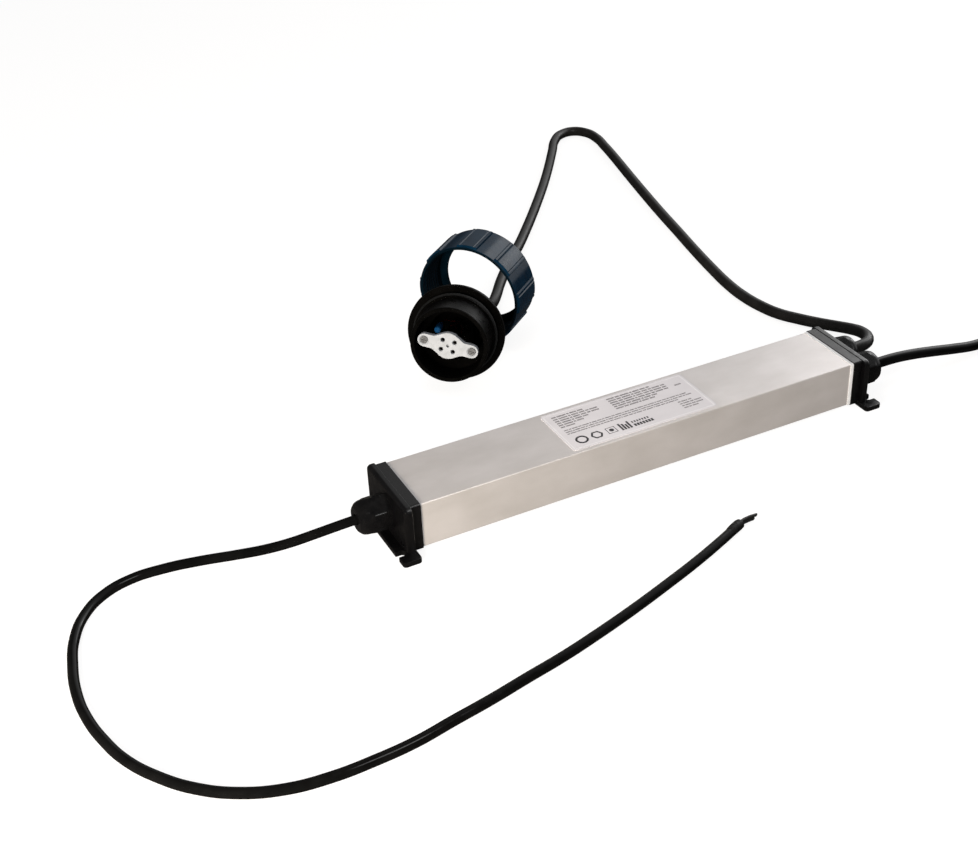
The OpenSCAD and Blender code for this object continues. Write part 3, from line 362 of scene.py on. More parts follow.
def softened(shell, width):
    """The shell with its sharp edges rounded by a width in metres."""
    work = bmesh.new()
    corners = [work.verts.new(p) for p in shell[0]]
    for face in shell[1]:
        work.faces.new([corners[k] for k in face])
    bmesh.ops.recalc_face_normals(work, faces=work.faces)
    limit = math.radians(40)
    sharp = [e for e in work.edges if len(e.link_faces) == 2 and e.calc_face_angle() > limit]
    bmesh.ops.bevel(work, geom=sharp, offset=width, segments=2, profile=0.5, affect="EDGES", clamp_overlap=True)
    work.verts.index_update()
    made = [tuple(v.co) for v in work.verts], [tuple(v.index for v in f.verts) for f in work.faces]
    work.free()
    return made


def make_piece(name, shell, finish, slot, *nodes, place=Matrix.Identity(4)):
    """Turns a shell into a smoothly shaded piece that rides on the frame and stands for its nodes."""
    made = blank(([place @ Vector(p) for p in shell[0]], shell[1]))
    made.name = made.data.name = name
    made.data.materials.append(finish)
    made.data.shade_smooth()
    made.data.set_sharp_from_angle(angle=math.radians(33))
    made.modifiers.new("even shading", "WEIGHTED_NORMAL").keep_sharp = True
    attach(made, "root")
    if nodes:
        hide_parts(*nodes)
    return made


def end_cap(side, gland_ys):
    """One cap, as a shell. Side is 1 at the right and -1 at the left."""
    foot_x, foot_end, foot_y, foot_height = 0.1833, 0.1970, 0.041, 0.004
    slot_x, slot_y, slot_half, edge = 0.1907, 0.0295, 0.0028, 0.003
    rim = [(foot_end, -foot_y, 0.0025)]
    for y in (-slot_y, slot_y):
        rim += [(foot_end, y - slot_half, 0.0006), (slot_x, y - slot_half, slot_half),
                (slot_x, y + slot_half, slot_half), (foot_end, y + slot_half, 0.0006)]
    rim += [(foot_end, foot_y, 0.0025), (foot_x, foot_y, 0.0025), (foot_x, -foot_y, 0.0025)]
    foot = softened(lofted([[(p.x, p.y, z) for p in eased(rim)] for z in (0.0, foot_height)]), 0.0005)
    plate = slab_along_x(0.066, 0.0389, 0.0045, 0.01945, [(FRAME_END, 0.0004), (FRAME_END + 0.0004, 0.0)] + [
        (PLATE_END - edge + edge * math.sin(a), edge * (1 - math.cos(a)))
        for a in (math.radians(15 * k) for k in range(7))])
    neck = slab_along_x(0.059, 0.037, 0.002, AXIS_Z,
                        [(GASKET_END, 0.0003), (GASKET_END + 0.0003, 0), (FRAME_END + 0.0006, 0)])
    pocket_end = PLATE_END - CAP_WALL
    pocket = slab_along_x(0.0518, 0.0298, 0.002, AXIS_Z, [(GASKET_END - 0.002, 0), (pocket_end, 0)])
    posts = [rod_along_x(GASKET_END + 0.0001, pocket_end + 0.001, 0.0035, s * SCREW_Y, SCREW_Z)
             for s in (-1, 1)]
    reach, tongue_y = [(0.1655, 0.0003), (0.166, 0), (0.1781, 0)], 0.0257
    tongues = [slab_along_x(0.0399, 0.002, 0.0004, 0.0347, reach)]
    for s in (-1, 1):
        tongue = slab_along_x(0.002, 0.01575, 0.0004, 0.025125, reach)
        tongues.append(([(x, y + s * tongue_y, z) for x, y, z in tongue[0]], tongue[1]))
    bores = [rod_along_x(pocket_end - 0.001, PLATE_END + 0.001, 0.0101, y, AXIS_Z, 64) for y in gland_ys]
    for s in (-1, 1):
        bores.append(rod_along_x(GASKET_END - 0.001, PLATE_END + 0.001, 0.0017, s * SCREW_Y, SCREW_Z))
        bores.append(rod_along_x(PLATE_END - 0.0025, PLATE_END + 0.007, 0.0028, s * SCREW_Y, SCREW_Z))
    solid = fitted(fitted(neck, joined=[plate, foot], cut=[pocket]), joined=posts + tongues, cut=bores)
    return [(side * x, y, z) for x, y, z in solid[0]], solid[1]


black_polyamide = mottled(
    "black_polyamide", 0.01, shade(0.012, 0.011, 0.013), shade(0.03, 0.028, 0.031), gloss=0.8)
polish(black_polyamide, 0.004, 0.26, 0.40)
emboss(black_polyamide, 0.0006, 0.000012)
make_piece("cap_moulding_left", end_cap(-1, [0.0]), black_polyamide, "cap", "end_cap_left")
make_piece("cap_moulding_right", end_cap(1, [MAINS_Y, LAMP_Y]), black_polyamide, "cap", "end_cap_right")


# Cap screws: zinc-plated self-tapping screws with cross recesses. They cut their thread in the
# tube's two channels, and their heads sink into the low corners of the caps.

zinc_plate = mottled("zinc_plate", 0.002, shade(0.62, 0.62, 0.64), shade(0.76, 0.76, 0.76), metallic=1.0)
polish(zinc_plate, 0.001, 0.22, 0.42)
dress(zinc_plate, "cap_screws")


# Cable glands: black polyamide bodies screwed through the caps and held by a lock nut inside. The
# dome nut squeezes a rubber seal round the lead, so that the lead is held and water stays out.

ACROSS_FLATS, FLANGE, DOME_LENGTH, CONTROL_DOME_LENGTH = 0.024, 0.0035, 0.016, 0.019
# The diameters of the control, mains and lamp leads, in metres.
CONTROL_D, MAINS_D, LAMP_D = 0.0068, 0.0083, 0.0094


def turned(section, sides, shape=None):
    """A turned shell. Its section is a closed line of (radius, height), and shape may alter a radius."""
    count, corners, faces = len(section), [], []
    for k in range(sides):
        angle = math.tau * k / sides
        for radius, height in section:
            r = shape(radius, height, angle) if shape else radius
            corners.append((r * math.cos(angle), r * math.sin(angle), height))
    for k in range(sides):
        for i in range(count):
            a, b = k * count, (k + 1) % sides * count
            j = (i + 1) % count
            faces.append((a + i, b + i, b + j, a + j))
    return corners, faces


def hexagon(angle):
    """The reach of the hexagon at an angle, with two flats square to Y."""
    return ACROSS_FLATS / 2 / math.cos(angle % (math.pi / 3) - math.pi / 6)


def on_flats(radius, height, angle):
    """Cuts a turned blank down to the hexagon, with soft corners, but for its bore and thread."""
    bore, flat, soft = 0.0095, hexagon(angle), 0.0005
    if radius < bore:
        return radius
    blend = max(0.0, soft - abs(radius - flat)) / soft
    return min(radius, flat) - blend * blend * soft / 4


def even_steps(line, pitch):
    """A closed section with points no further apart than pitch."""
    points = []
    for i, p in enumerate(line):
        q = line[(i + 1) % len(line)]
        n = max(1, math.ceil((q - p).length / pitch))
        points += [p.lerp(q, k / n) for k in range(n)]
    return [(p.x, p.y) for p in points]


def gland_nut(lead, length=DOME_LENGTH):
    """The dome nut for a lead of this diameter, through corners of (radius, height, rounding)."""
    end, lips = max(0.0076, lead / 2 + 0.0018), lead / 2 + 0.0006
    section = eased([(0.0134, 0, 0.0004), (0.0138, 0.0008, 0.0003), (0.0138, length * 0.5, 0.002),
                     (0.0125, length * 0.6, 0.002), (0.012, length * 0.74, 0.003),
                     (0.01116, length * 0.87, 0.003), (end + 0.0019, length * 0.96, 0.0012),
                     (end + 0.001, length, 0.0006), (lips, length, 0.0005), (lips, length - 0.0032, 0),
                     (lead / 2 + 0.0018, length - 0.0035, 0), (0.0091, length - 0.0069, 0),
                     (0.0091, 0, 0.0003)], steps=4)
    return turned(even_steps(section, 0.0009), 144, on_flats)


def gland_body(length):
    """The hexagon flange, the stub under a nut of this length and the thread through the cap."""
    tip = FLANGE + length - 0.007
    section = eased([(0.0142, 0.0, 0.0003), (0.0142, FLANGE, 0.0008), (0.009, FLANGE, 0), (0.009, tip, 0.0004),
                     (0.0062, tip, 0.0003), (0.0062, -0.009, 0.0003), (0.01, -0.009, 0.0006), (0.01, 0.0, 0)],
                    steps=3)
    return turned(even_steps(section, 0.002), 144, on_flats)


gland_black = mottled("gland_black", 0.006, shade(0.025, 0.025, 0.028), shade(0.05, 0.048, 0.05), gloss=0.4)
polish(gland_black, 0.003, 0.12, 0.26)
emboss(gland_black, 0.002, 0.00008)
seal_rubber = mottled("seal_rubber", 0.002, shade(0.05, 0.05, 0.05), shade(0.08, 0.08, 0.08), roughness=0.6)
emboss(seal_rubber, 0.0006, 0.00002)
for lead_name, side, gland_y, lead_size, dome_length in (
        ("control", -1, 0.0, CONTROL_D, CONTROL_DOME_LENGTH), ("mains", 1, MAINS_Y, MAINS_D, DOME_LENGTH),
        ("lamp", 1, LAMP_Y, LAMP_D, DOME_LENGTH)):
    seat = Matrix.Translation((side * PLATE_END, gland_y, AXIS_Z)) @ Matrix.Rotation(side * math.pi / 2, 4, "Y")
    make_piece(lead_name + "_gland_flange", gland_body(dome_length), gland_black, "gland",
               lead_name + "_gland_body", place=seat)
    make_piece(lead_name + "_gland_dome", gland_nut(lead_size, dome_length), gland_black, "gland",
               lead_name + "_gland_nut", place=seat @ Matrix.Translation((0, 0, FLANGE)))
    dress(gland_black, lead_name + "_gland_locknut")
    dress(seal_rubber, lead_name + "_gland_seal")


# Label: a sheet of silver-white film with round corners, stuck to the tube's top. Its print is left
# general: blocks of small writing shown as broken lines, a row of plain signs and a pale border.

LABEL_TOP, INK, SUNK = 0.0377, 0.00003, 0.00002
WORDS = (5, 3, 7, 4, 8, 2, 6)

silver_film = mottled("silver_film", 0.02, shade(0.81, 0.797, 0.81), shade(0.845, 0.832, 0.845),
                      stretch=(2, 1, 1))
polish(silver_film, 0.004, 0.36, 0.5)
emboss(silver_film, 0.006, 0.00002)
dress(silver_film, "label")


def printed(outlines):
    """A hair-thin sheet of ink for each convex outline."""
    corners, faces = [], []
    for outline in outlines:
        base, n = len(corners), len(outline)
        corners += [(x, y, z) for z in (LABEL_TOP - SUNK, LABEL_TOP + INK) for x, y in outline]
        faces += [tuple(base + k for k in range(n)), tuple(base + n + k for k in range(n))]
        faces += [(base + k, base + (k + 1) % n, base + n + (k + 1) % n, base + n + k) for k in range(n)]
    return corners, faces


def bar(x, y, length, height):
    """A straight bar from its lower left corner."""
    return [(x, y), (x + length, y), (x + length, y + height), (x, y + height)]


def written_line(x, y, length, height, word):
    """A line of small writing, as words of short strokes. Word says where in WORDS it starts."""
    strokes, at = [], x
    while at < x + length:
        for _ in range(WORDS[word % len(WORDS)]):
            strokes.append(bar(at, y, height * 0.46, height))
            at += height * 0.6
        at += height * 0.5
        word += 1
    return strokes


def ring_sign(x, y, outer, inner, sides=24, start=0.0):
    """A ring in short pieces."""
    pieces = []
    for k in range(sides):
        a, b = start + math.tau * k / sides, start + math.tau * (k + 1) / sides
        pieces.append([(x + r * math.cos(t), y + r * math.sin(t))
                       for r, t in ((inner, a), (outer, a), (outer, b), (inner, b))])
    return pieces


# Blocks of writing: left edge, first row, pitch of the rows, height of the letters, and for each row
# its length and the place in WORDS where it starts.
writing = []
for left, top, pitch, letter, rows in (
        (-0.0525, 0.0185, 0.0028, 0.0015,
         ((0.025, 3), (0.034, 3), (0.032, 3), (0.022, 3), (0.016, 3), (0.010, 3))),
        (-0.006, 0.0205, 0.0028, 0.0015,
         ((0.036, 2), (0.047, 2), (0.044, 2), (0.046, 2), (0.036, 1), (0.030, 2))),
        (0.047, 0.0125, 0.0028, 0.0015, ((0.005, 6),)),
        (-0.0525, 0.0, 0.0025, 0.0011, ((0.098, 0), (0.101, 4), (0.090, 1))),
        (0.0365, -0.0085, 0.0028, 0.0012, ((0.011, 1), (0.016, 1), (0.013, 1), (0.008, 0)))):
    for row, (length, word) in enumerate(rows):
        writing += written_line(left, top - pitch * row, length, letter, word)
SIGN_Y, DIAMOND_X, BARS_X = -0.0150, -0.0232, -0.0060
signs = ring_sign(-0.0470, SIGN_Y, 0.0048, 0.0032) + ring_sign(-0.0350, SIGN_Y, 0.0048, 0.0032, sides=6)
signs += ring_sign(DIAMOND_X, SIGN_Y, 0.0052, 0.0045, sides=4, start=math.pi / 4)
signs += ring_sign(DIAMOND_X, SIGN_Y, 0.0018, 0.0)
signs += [bar(-0.0165 + 0.0023 * k, -0.0195, 0.0015, 0.0090 - 0.0014 * (k % 3)) for k in range(4)]
signs += [bar(BARS_X + 0.0023 * k, -0.0192, 0.0017, 0.0032) for k in range(7)]
signs += [bar(BARS_X + 0.0021 * k, -0.0145, 0.0012, 0.0022) for k in range(7)]
print_grey = mottled("print_grey", 0.0015, shade(0.35, 0.335, 0.34), shade(0.48, 0.465, 0.47))
make_piece("label_print", printed(writing), print_grey, "label")
sign_black = mottled("sign_black", 0.0015, shade(0.12, 0.115, 0.12), shade(0.24, 0.23, 0.24))
make_piece("label_signs", printed(signs), sign_black, "label")
border_white = mottled(
    "border_white", 0.004, shade(0.855, 0.845, 0.855), shade(0.885, 0.875, 0.885), roughness=0.45)
EDGE_X, EDGE_Y, LINE = 0.0575, 0.0237, 0.0008
border = [bar(-EDGE_X, y, 2 * EDGE_X, LINE) for y in (-EDGE_Y, EDGE_Y - LINE)]
border += [bar(x, LINE - EDGE_Y, LINE, 2 * (EDGE_Y - LINE)) for x in (-EDGE_X, EDGE_X - LINE)]
make_piece("label_border", printed(border), border_white, "label")


# Control lead: 6.8 mm of black flexible cord from the left gland. It drops to the table, swings
# round in a wide loop and ends in its bare cores, cut at a slant.

def lead_along(name, points, diameter, finish, slot, *nodes):
    """A round lead on one smooth line through its points."""
    line = bpy.data.curves.new(name, "CURVE")
    line.dimensions = "3D"
    line.bevel_depth = diameter / 2
    line.bevel_resolution = 6
    line.resolution_u = 6
    line.use_fill_caps = True
    run = line.splines.new("BEZIER")
    run.bezier_points.add(len(points) - 1)
    for knot, point in zip(run.bezier_points, points):
        knot.co = point
        knot.handle_left_type = knot.handle_right_type = "AUTO"
    line.materials.append(finish)
    made = in_scene(name, line)
    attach(made, "root")
    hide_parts(*nodes)
    return made


def sheath_finish(name, colour, roughness, gloss=0.2):
    """Black PVC with a soft shine, drawn a little unevenly."""
    dark, light = tuple(c * 0.7 for c in colour), tuple(c * 1.3 for c in colour)
    finish = mottled(name, 0.012, dark, light, gloss=gloss)
    polish(finish, 0.006, roughness - 0.04, roughness + 0.06)
    emboss(finish, 0.012, 0.00005)
    return finish


def at_height(z, places):
    """Points of a route, all at one height."""
    return [(x, y, z) for x, y in places]


control_sheath = sheath_finish("control_sheath", shade(0.03, 0.03, 0.03), 0.13)
control_line = [
    (-0.182, 0, 0.02), (-0.198, 0, 0.02), (-0.214, 0, 0.02), (-0.228, 0.002, 0.018),
    (-0.242, 0.007, 0.0135), (-0.256, 0.013, 0.0085), (-0.272, 0.019, 0.005),
    *at_height(0.0034, [
        (-0.29, 0.025), (-0.314, 0.031), (-0.338, 0.035), (-0.36, 0.035), (-0.38, 0.028), (-0.396, 0.014),
        (-0.408, -0.007), (-0.415, -0.031), (-0.419, -0.056), (-0.419, -0.08), (-0.415, -0.104),
        (-0.408, -0.126), (-0.396, -0.147), (-0.38, -0.166), (-0.36, -0.181), (-0.336, -0.191),
        (-0.31, -0.195), (-0.284, -0.195), (-0.258, -0.193), (-0.232, -0.188), (-0.205, -0.183),
        (-0.178, -0.177), (-0.15, -0.171), (-0.12, -0.163), (-0.09, -0.154), (-0.06, -0.144),
        (-0.029, -0.133), (-0.004, -0.123), (0.019, -0.113),
    ]),
]
control_cord = lead_along("control_cord", control_line, CONTROL_D, control_sheath, "control_lead",
                          "control_lead")
core_line = [(0.0191, -0.113, 0.0034), (0.023, -0.1116, 0.0032), (0.029, -0.1106, 0.0028),
             (0.035, -0.1106, 0.0024)]


def swept(points, radii, sides=16):
    """A round shell along points, with a radius at each of them."""
    rings = []
    for i, point in enumerate(points):
        ahead = Vector(points[min(i + 1, len(points) - 1)]) - Vector(points[max(i - 1, 0)])
        across = Vector((-ahead.y, ahead.x, 0)).normalized()
        up = ahead.normalized().cross(across)
        rings.append([Vector(point) + radii[i] * (math.cos(t) * across + math.sin(t) * up)
                      for t in (math.tau * k / sides for k in range(sides))])
    return lofted(rings)


def slant_cut():
    """The wedge that the cutters took off both cores at once."""
    side = [(0.0350, 0.0056), (0.0298, -0.0008), (0.045, -0.0008), (0.045, 0.0056)]
    return lofted([[(x, y, z) for x, z in side] for y in (-0.12, -0.10)])


bare_cores = core_finish("black_cores", shade(0.10, 0.098, 0.095))
CORE_R = 0.00114
for number, lift in ((1, 0.00145), (2, -0.00115)):
    core = swept([(x, y, z + lift) for x, y, z in core_line], [CORE_R] * len(core_line))
    make_piece(f"bare_core_{number}", fitted(core, cut=[slant_cut()]), bare_cores,
                                "control_lead", "control_ends")
ragged = sheath_finish("ragged_sheath_end", shade(0.06, 0.058, 0.055), 0.45)
emboss(ragged, 0.002, 0.0004)
SLEEVE_Z = 0.0037
sleeve_line = at_height(SLEEVE_Z, [
    (0.0078, -0.1178), (0.0095, -0.1171), (0.0135, -0.1153), (0.0168, -0.1139), (0.0190, -0.1130)])
sheath_end = make_piece("swollen_sheath_end", swept(sleeve_line, [0.00335, 0.0036, 0.0037, 0.0037, 0.0033], 24),
                        ragged, "control_lead")


# Mains lead: 8.3 mm of black cord from the right gland to its plug. It sags to the table, and the
# length that isn't in the picture lies beside the tube in a coil of two layers, held by two ties.

COIL_X, COIL_Y, COIL_R = 0.364, -0.069, 0.0498
LOW_Z = 0.0009 + MAINS_D / 2
# In degrees of winding: a turn, the step to the next lane at its end, the lower layer's three turns,
# the end of the top layer's first turn, and the whole coil.
TURN, STEP = 360, 80
LOW_LAYER, TOP_TURN, WHOLE_COIL = 3 * TURN, 4 * TURN, 1570


def smooth_step(t):
    """0 to 1 with soft ends."""
    t = min(1.0, max(0.0, t))
    return t * t * (3 - 2 * t)


def low_turn(turned_by):
    """The lower layer's radius after so many degrees: each turn steps in by a diameter at its end."""
    turn, along = divmod(turned_by, TURN)
    return COIL_R + MAINS_D * (1 - turn - smooth_step((along - TURN + STEP) / STEP))


def coil_place(turned_by):
    """The radius and height of the lead after so many degrees of winding."""
    climb = LOW_LAYER - STEP
    if turned_by < climb:
        return low_turn(turned_by), LOW_Z
    if turned_by < LOW_LAYER:
        lean = math.radians(180 - 120 * smooth_step((turned_by - climb) / STEP))
        return low_turn(turned_by - TURN) + MAINS_D * math.cos(lean), LOW_Z + MAINS_D * math.sin(lean)
    radius = COIL_R + MAINS_D * (smooth_step((turned_by - TOP_TURN + STEP) / STEP) - 0.5)
    below = [low_turn(turned_by - n * TURN) for n in (4, 3, 2) if 0 <= turned_by - n * TURN < LOW_LAYER]
    gap = min(abs(radius - r) for r in below)
    return radius, LOW_Z + math.sqrt(max(MAINS_D ** 2 - gap ** 2, (MAINS_D * 0.866) ** 2))


def coil_line():
    """The wound part, from the place where the lead meets the coil to the place where it leaves it."""
    line = []
    for turned_by in range(0, WHOLE_COIL + 1, 10):
        angle, (radius, z) = math.radians(90 - turned_by), coil_place(turned_by)
        line.append((COIL_X + radius * math.cos(angle), COIL_Y + radius * math.sin(angle), z))
    return line


mains_sheath = sheath_finish("mains_sheath", shade(0.03, 0.03, 0.032), 0.13)
mains_line = [
    (0.182, -0.0135, 0.02), (0.198, -0.0135, 0.02), (0.214, -0.0135, 0.02), (0.23, -0.0135, 0.0196),
    (0.248, -0.0135, 0.0176), (0.268, -0.0135, 0.0142), (0.288, -0.0135, 0.0104),
    (0.31, -0.013, 0.0066), (0.332, -0.0112, 0.0051),
    (0.35, -0.0109, 0.00505),
] + coil_line() + [
    (0.3969, -0.1131, 0.01285), (0.3897, -0.1211, 0.0137), (0.3847, -0.1266, 0.0147),
    (0.376, -0.1363, 0.0164), (0.3694, -0.1437, 0.01775), (0.364, -0.1497, 0.01845),
    (0.3605, -0.15355, 0.0185), (0.3554, -0.1592, 0.0185),
]
mains_cord = lead_along("mains_cord", mains_line, MAINS_D, mains_sheath, "mains_lead", "mains_lead",
                        "mains_coil")
tie_nylon = mottled("tie_nylon", 0.002, shade(0.13, 0.13, 0.14), shade(0.19, 0.19, 0.20), roughness=0.4)
emboss(tie_nylon, 0.0005, 0.00003, stretch=(1, 1, 3))
dress(tie_nylon, "coil_ties")
plug_black = mottled("plug_black", 0.008, shade(0.05, 0.05, 0.055), shade(0.08, 0.08, 0.085), roughness=0.35)
emboss(plug_black, 0.0007, 0.00002)
dress(plug_black, "plug_body")
nickel_plate = mottled("nickel_plate", 0.004, shade(0.73, 0.72, 0.69), shade(0.82, 0.81, 0.78), metallic=1.0)
polish(nickel_plate, 0.002, 0.14, 0.30)
dress(nickel_plate, "plug_pins")


# Lamp lead: 9.4 mm of round four-core cord from the right gland to the lamp holder. It turns back
# beside the cap, makes one long bend on the table and passes through the union nut.

lamp_sheath = sheath_finish("lamp_sheath", shade(0.10, 0.095, 0.092), 0.34, gloss=0.35)
lamp_line = [
    (0.182, 0.0135, 0.02), (0.198, 0.0135, 0.02), (0.214, 0.0135, 0.02), (0.226, 0.016, 0.0195),
    (0.234, 0.024, 0.0185), (0.238, 0.036, 0.016), (0.24, 0.05, 0.0115), (0.238, 0.066, 0.007),
    (0.231, 0.081, 0.0049),
    *at_height(0.0047, [
        (0.222, 0.095), (0.213, 0.111), (0.208, 0.13), (0.206, 0.15), (0.207, 0.174), (0.212, 0.208),
        (0.219, 0.246), (0.227, 0.285), (0.236, 0.33), (0.246, 0.376), (0.256, 0.42), (0.266, 0.463),
        (0.273, 0.496), (0.277, 0.52), (0.275, 0.538), (0.265, 0.549), (0.25, 0.548), (0.236, 0.536),
        (0.221, 0.514), (0.2, 0.483), (0.176, 0.449), (0.152, 0.417), (0.128, 0.386), (0.108, 0.361),
        (0.089, 0.338), (0.07, 0.317), (0.054, 0.298), (0.039, 0.279),
    ]),
    (0.027, 0.262, 0.0052), (0.017, 0.248, 0.0074), (0.009, 0.2375, 0.011), (0.001, 0.2293, 0.0153),
    (-0.0065, 0.2235, 0.0194), (-0.014, 0.218, 0.0236), (-0.0215, 0.2115, 0.0274), (-0.028, 0.2043, 0.0301),
    (-0.034, 0.196, 0.0314),
]
lamp_cord = lead_along("lamp_cord", lamp_line, LAMP_D, lamp_sheath, "lamp_lead", "lamp_lead")


# Lamp holder: a round moulding of black polyamide with a hollow front for the socket, a flange for
# the union nut to pull on, a groove for the sealing ring, and a gland nut at the back.

HOLDER = (Matrix.Translation((-0.0747, 0.1409, 0.0442)) @ Matrix.Rotation(math.radians(-36.4), 4, "Z")
          @ Matrix.Rotation(math.radians(79.9), 4, "X"))
SOCKET_TURN = Matrix.Translation((-0.0008, -0.0006, 0)) @ Matrix.Rotation(math.radians(-12.1), 4, "Z")
EAR_SCREW, EAR, WELL_Z, GROOVE_Z, NECK_Z = 0.019, 0.0046, -0.036, -0.0244, -0.0557


def holder_shell():
    """The holder's turned body with the two posts that carry the socket."""
    section = eased([
        (0.0062, -0.0647, 0.0003), (0.009, -0.0647, 0.0004), (0.009, NECK_Z, 0), (0.013, NECK_Z, 0.0005),
        (0.013, -0.0527, 0.001), (0.017, -0.0497, 0.002), (0.0235, -0.045, 0.003), (0.028, -0.039, 0.003),
        (0.0295, -0.033, 0.0006), (0.03865, -0.033, 0.0006), (0.03865, -0.0295, 0.0007),
        (0.0323, -0.0295, 0.0004), (0.0323, -0.0276, 0.0002), (0.0305, -0.0276, 0.0002),
        (0.0305, GROOVE_Z, 0.0002), (0.0323, GROOVE_Z, 0.0002), (0.0323, -0.023, 0.0006),
        (0.0303, -0.023, 0.0006), (0.0303, 0.0, 0.0012), (0.027, 0.0, 0.0005),
        (0.027, -0.023, 0.0008), (0.02, -0.023, 0.0008), (0.02, WELL_Z, 0.0015), (0.012, -0.044, 0.002),
        (0.0062, -0.045, 0.0005)], steps=4)
    posts, bores = [], []
    for s in (-1, 1):
        at = SOCKET_TURN @ Matrix.Translation((s * EAR_SCREW, 0, 0))
        for shells, radius, low, high in (
                (posts, 0.0036, WELL_Z - 0.003, -EAR - 0.00005), (bores, 0.00135, -0.02, 0)):
            ring = circle(radius, 32)
            shells.append(lofted([[at @ Vector((a, b, z)) for a, b in ring] for z in (low, high)]))
    return fitted(turned([(p.x, p.y) for p in section], 160), joined=posts, cut=bores)


holder_black = mottled("holder_black", 0.01, shade(0.01, 0.009, 0.008), shade(0.022, 0.02, 0.018), gloss=0.12)
polish(holder_black, 0.005, 0.24, 0.38)
emboss(holder_black, 0.0008, 0.00001)
holder_body = make_piece("holder_moulding", holder_shell(), holder_black, "holder", "holder_cup", place=HOLDER)
dress(seal_rubber, "holder_seal", "holder_gland_seal")
NECK = HOLDER @ Matrix.Translation((0, 0, NECK_Z)) @ Matrix.Rotation(math.pi, 4, "X")
holder_nut = make_piece("holder_gland_dome", gland_nut(LAMP_D), gland_black, "gland", "holder_gland_nut",
                        place=NECK)


# Lamp socket: a plate of pressed white steatite with two ears, four pin holes with countersunk mouths
# and a small keying hole, on a dark base that holds the contacts. Two screws fix its ears to the posts.

PIN_X, PIN_Y = 0.0047, 0.00385


def disc(radius, x, y, low, high, wide=0.0, sides=36):
    """A round plug between two heights, wider at the top where wide is given."""
    ends = ((radius, low), (radius + wide, high))
    return lofted([[(a, b, z) for a, b in circle(r, sides, x, y)] for r, z in ends])


def socket_plate():
    """The ceramic's outline with eased edges and its holes."""
    end, half, neck_x, waist_x, waist_y = 0.0240, 0.0053, 0.01176, 0.00567, 0.00882
    outline = []
    for s in (1, -1):
        outline += [(s * waist_x, -s * waist_y, 0.003), (s * neck_x, -s * half, 0.006),
                    (s * end, -s * half, 0.0052), (s * end, s * half, 0.0052),
                    (s * neck_x, s * half, 0.006), (s * waist_x, s * waist_y, 0.003)]
    ears = softened(lofted([[(p.x, p.y, z) for p in eased(outline, steps=8)] for z in (-EAR, 0.0)]), 0.0005)
    middle = softened(disc(0.0105, 0, 0, -EAR - 0.00003, 0.00003, sides=72), 0.0005)
    holes = [disc(0.0012, 0, 0, -0.003, 0.001)]
    for sx in (-1, 1):
        holes.append(disc(0.0017, sx * EAR_SCREW, 0, -EAR - 0.001, 0.001))
        holes.append(disc(0.0031, sx * EAR_SCREW, 0, -0.0022, 0.001))
        holes.append(disc(0.0031, sx * EAR_SCREW, 0, -0.0009, 0.0001, wide=0.001))
        for sy in (-1, 1):
            x, y = sx * PIN_X, sy * PIN_Y
            holes.append(disc(0.0017, x, y, -0.006, 0.001))
            holes.append(disc(0.0017, x, y, -0.0004, 0.0001, wide=0.0005))
    return fitted(ears, joined=[middle], cut=holes)


def socket_base():
    """The round base behind the plate, with a chamber for each contact."""
    chambers = [disc(0.00195, sx * PIN_X, sy * PIN_Y, -0.015, 0) for sx in (-1, 1) for sy in (-1, 1)]
    return fitted(disc(0.01, 0, 0, -0.014, -EAR, sides=72), cut=chambers)


steatite = mottled("steatite", 0.004, shade(0.595, 0.605, 0.62), shade(0.645, 0.655, 0.675))
polish(steatite, 0.0015, 0.24, 0.42)
emboss(steatite, 0.0009, 0.00002)
SOCKET = HOLDER @ SOCKET_TURN
socket_body = make_piece("socket_ceramic", socket_plate(), steatite, "ceramic", "lamp_socket", place=SOCKET)
base_body = make_piece("socket_base", socket_base(), holder_black, "ceramic", place=SOCKET)
dull_zinc = mottled("dull_zinc", 0.0015, shade(0.52, 0.52, 0.53), shade(0.68, 0.68, 0.68), metallic=0.7)
polish(dull_zinc, 0.0008, 0.3, 0.5)
dress(dull_zinc, "socket_screws")
# The contacts are bronze with painted shade: their colour is darkened so that the pin holes read as deep
# shadow.
bronze_painted_shade = mottled("bronze_painted_shade", 0.001, shade(0.12, 0.08, 0.05), shade(0.20, 0.14, 0.09), metallic=0.8)
polish(bronze_painted_shade, 0.0008, 0.4, 0.6)
dress(bronze_painted_shade, "socket_contacts")


# Socket wires: four thin wires from the contacts to the lamp lead, and a fifth that ends in a blue
# crimped splice beside the socket.

red_wire = core_finish("red_wire", shade(0.30, 0.06, 0.05))
dress(red_wire, "socket_wires")
splice_blue = mottled("splice_blue", 0.003, shade(0.015, 0.14, 0.26), shade(0.03, 0.22, 0.36))
polish(splice_blue, 0.001, 0.2, 0.35)
dress(splice_blue, "wire_splice")


# Union nut: a ring moulded in dark blue plastic, with eight grip pads outside, a coarse thread
# inside its mouth and a lip at the back that pulls the holder's flange against the lamp housing.

RING_R, RING_BORE, RING_LENGTH, LIP_R, LIP_Z = 0.0431, 0.0407, 0.0358, 0.0345, 0.0328
# The pads' height in metres, their spacing and half width in degrees, and where they fade out.
PAD, PAD_SPACING, PAD_HALF, PAD_END = 0.0014, 45, 10.9, 0.0012
THREAD_START, THREAD_END, THREAD_PITCH, THREAD_RIDGE = 0.0015, 0.0300, 0.004, 0.0006


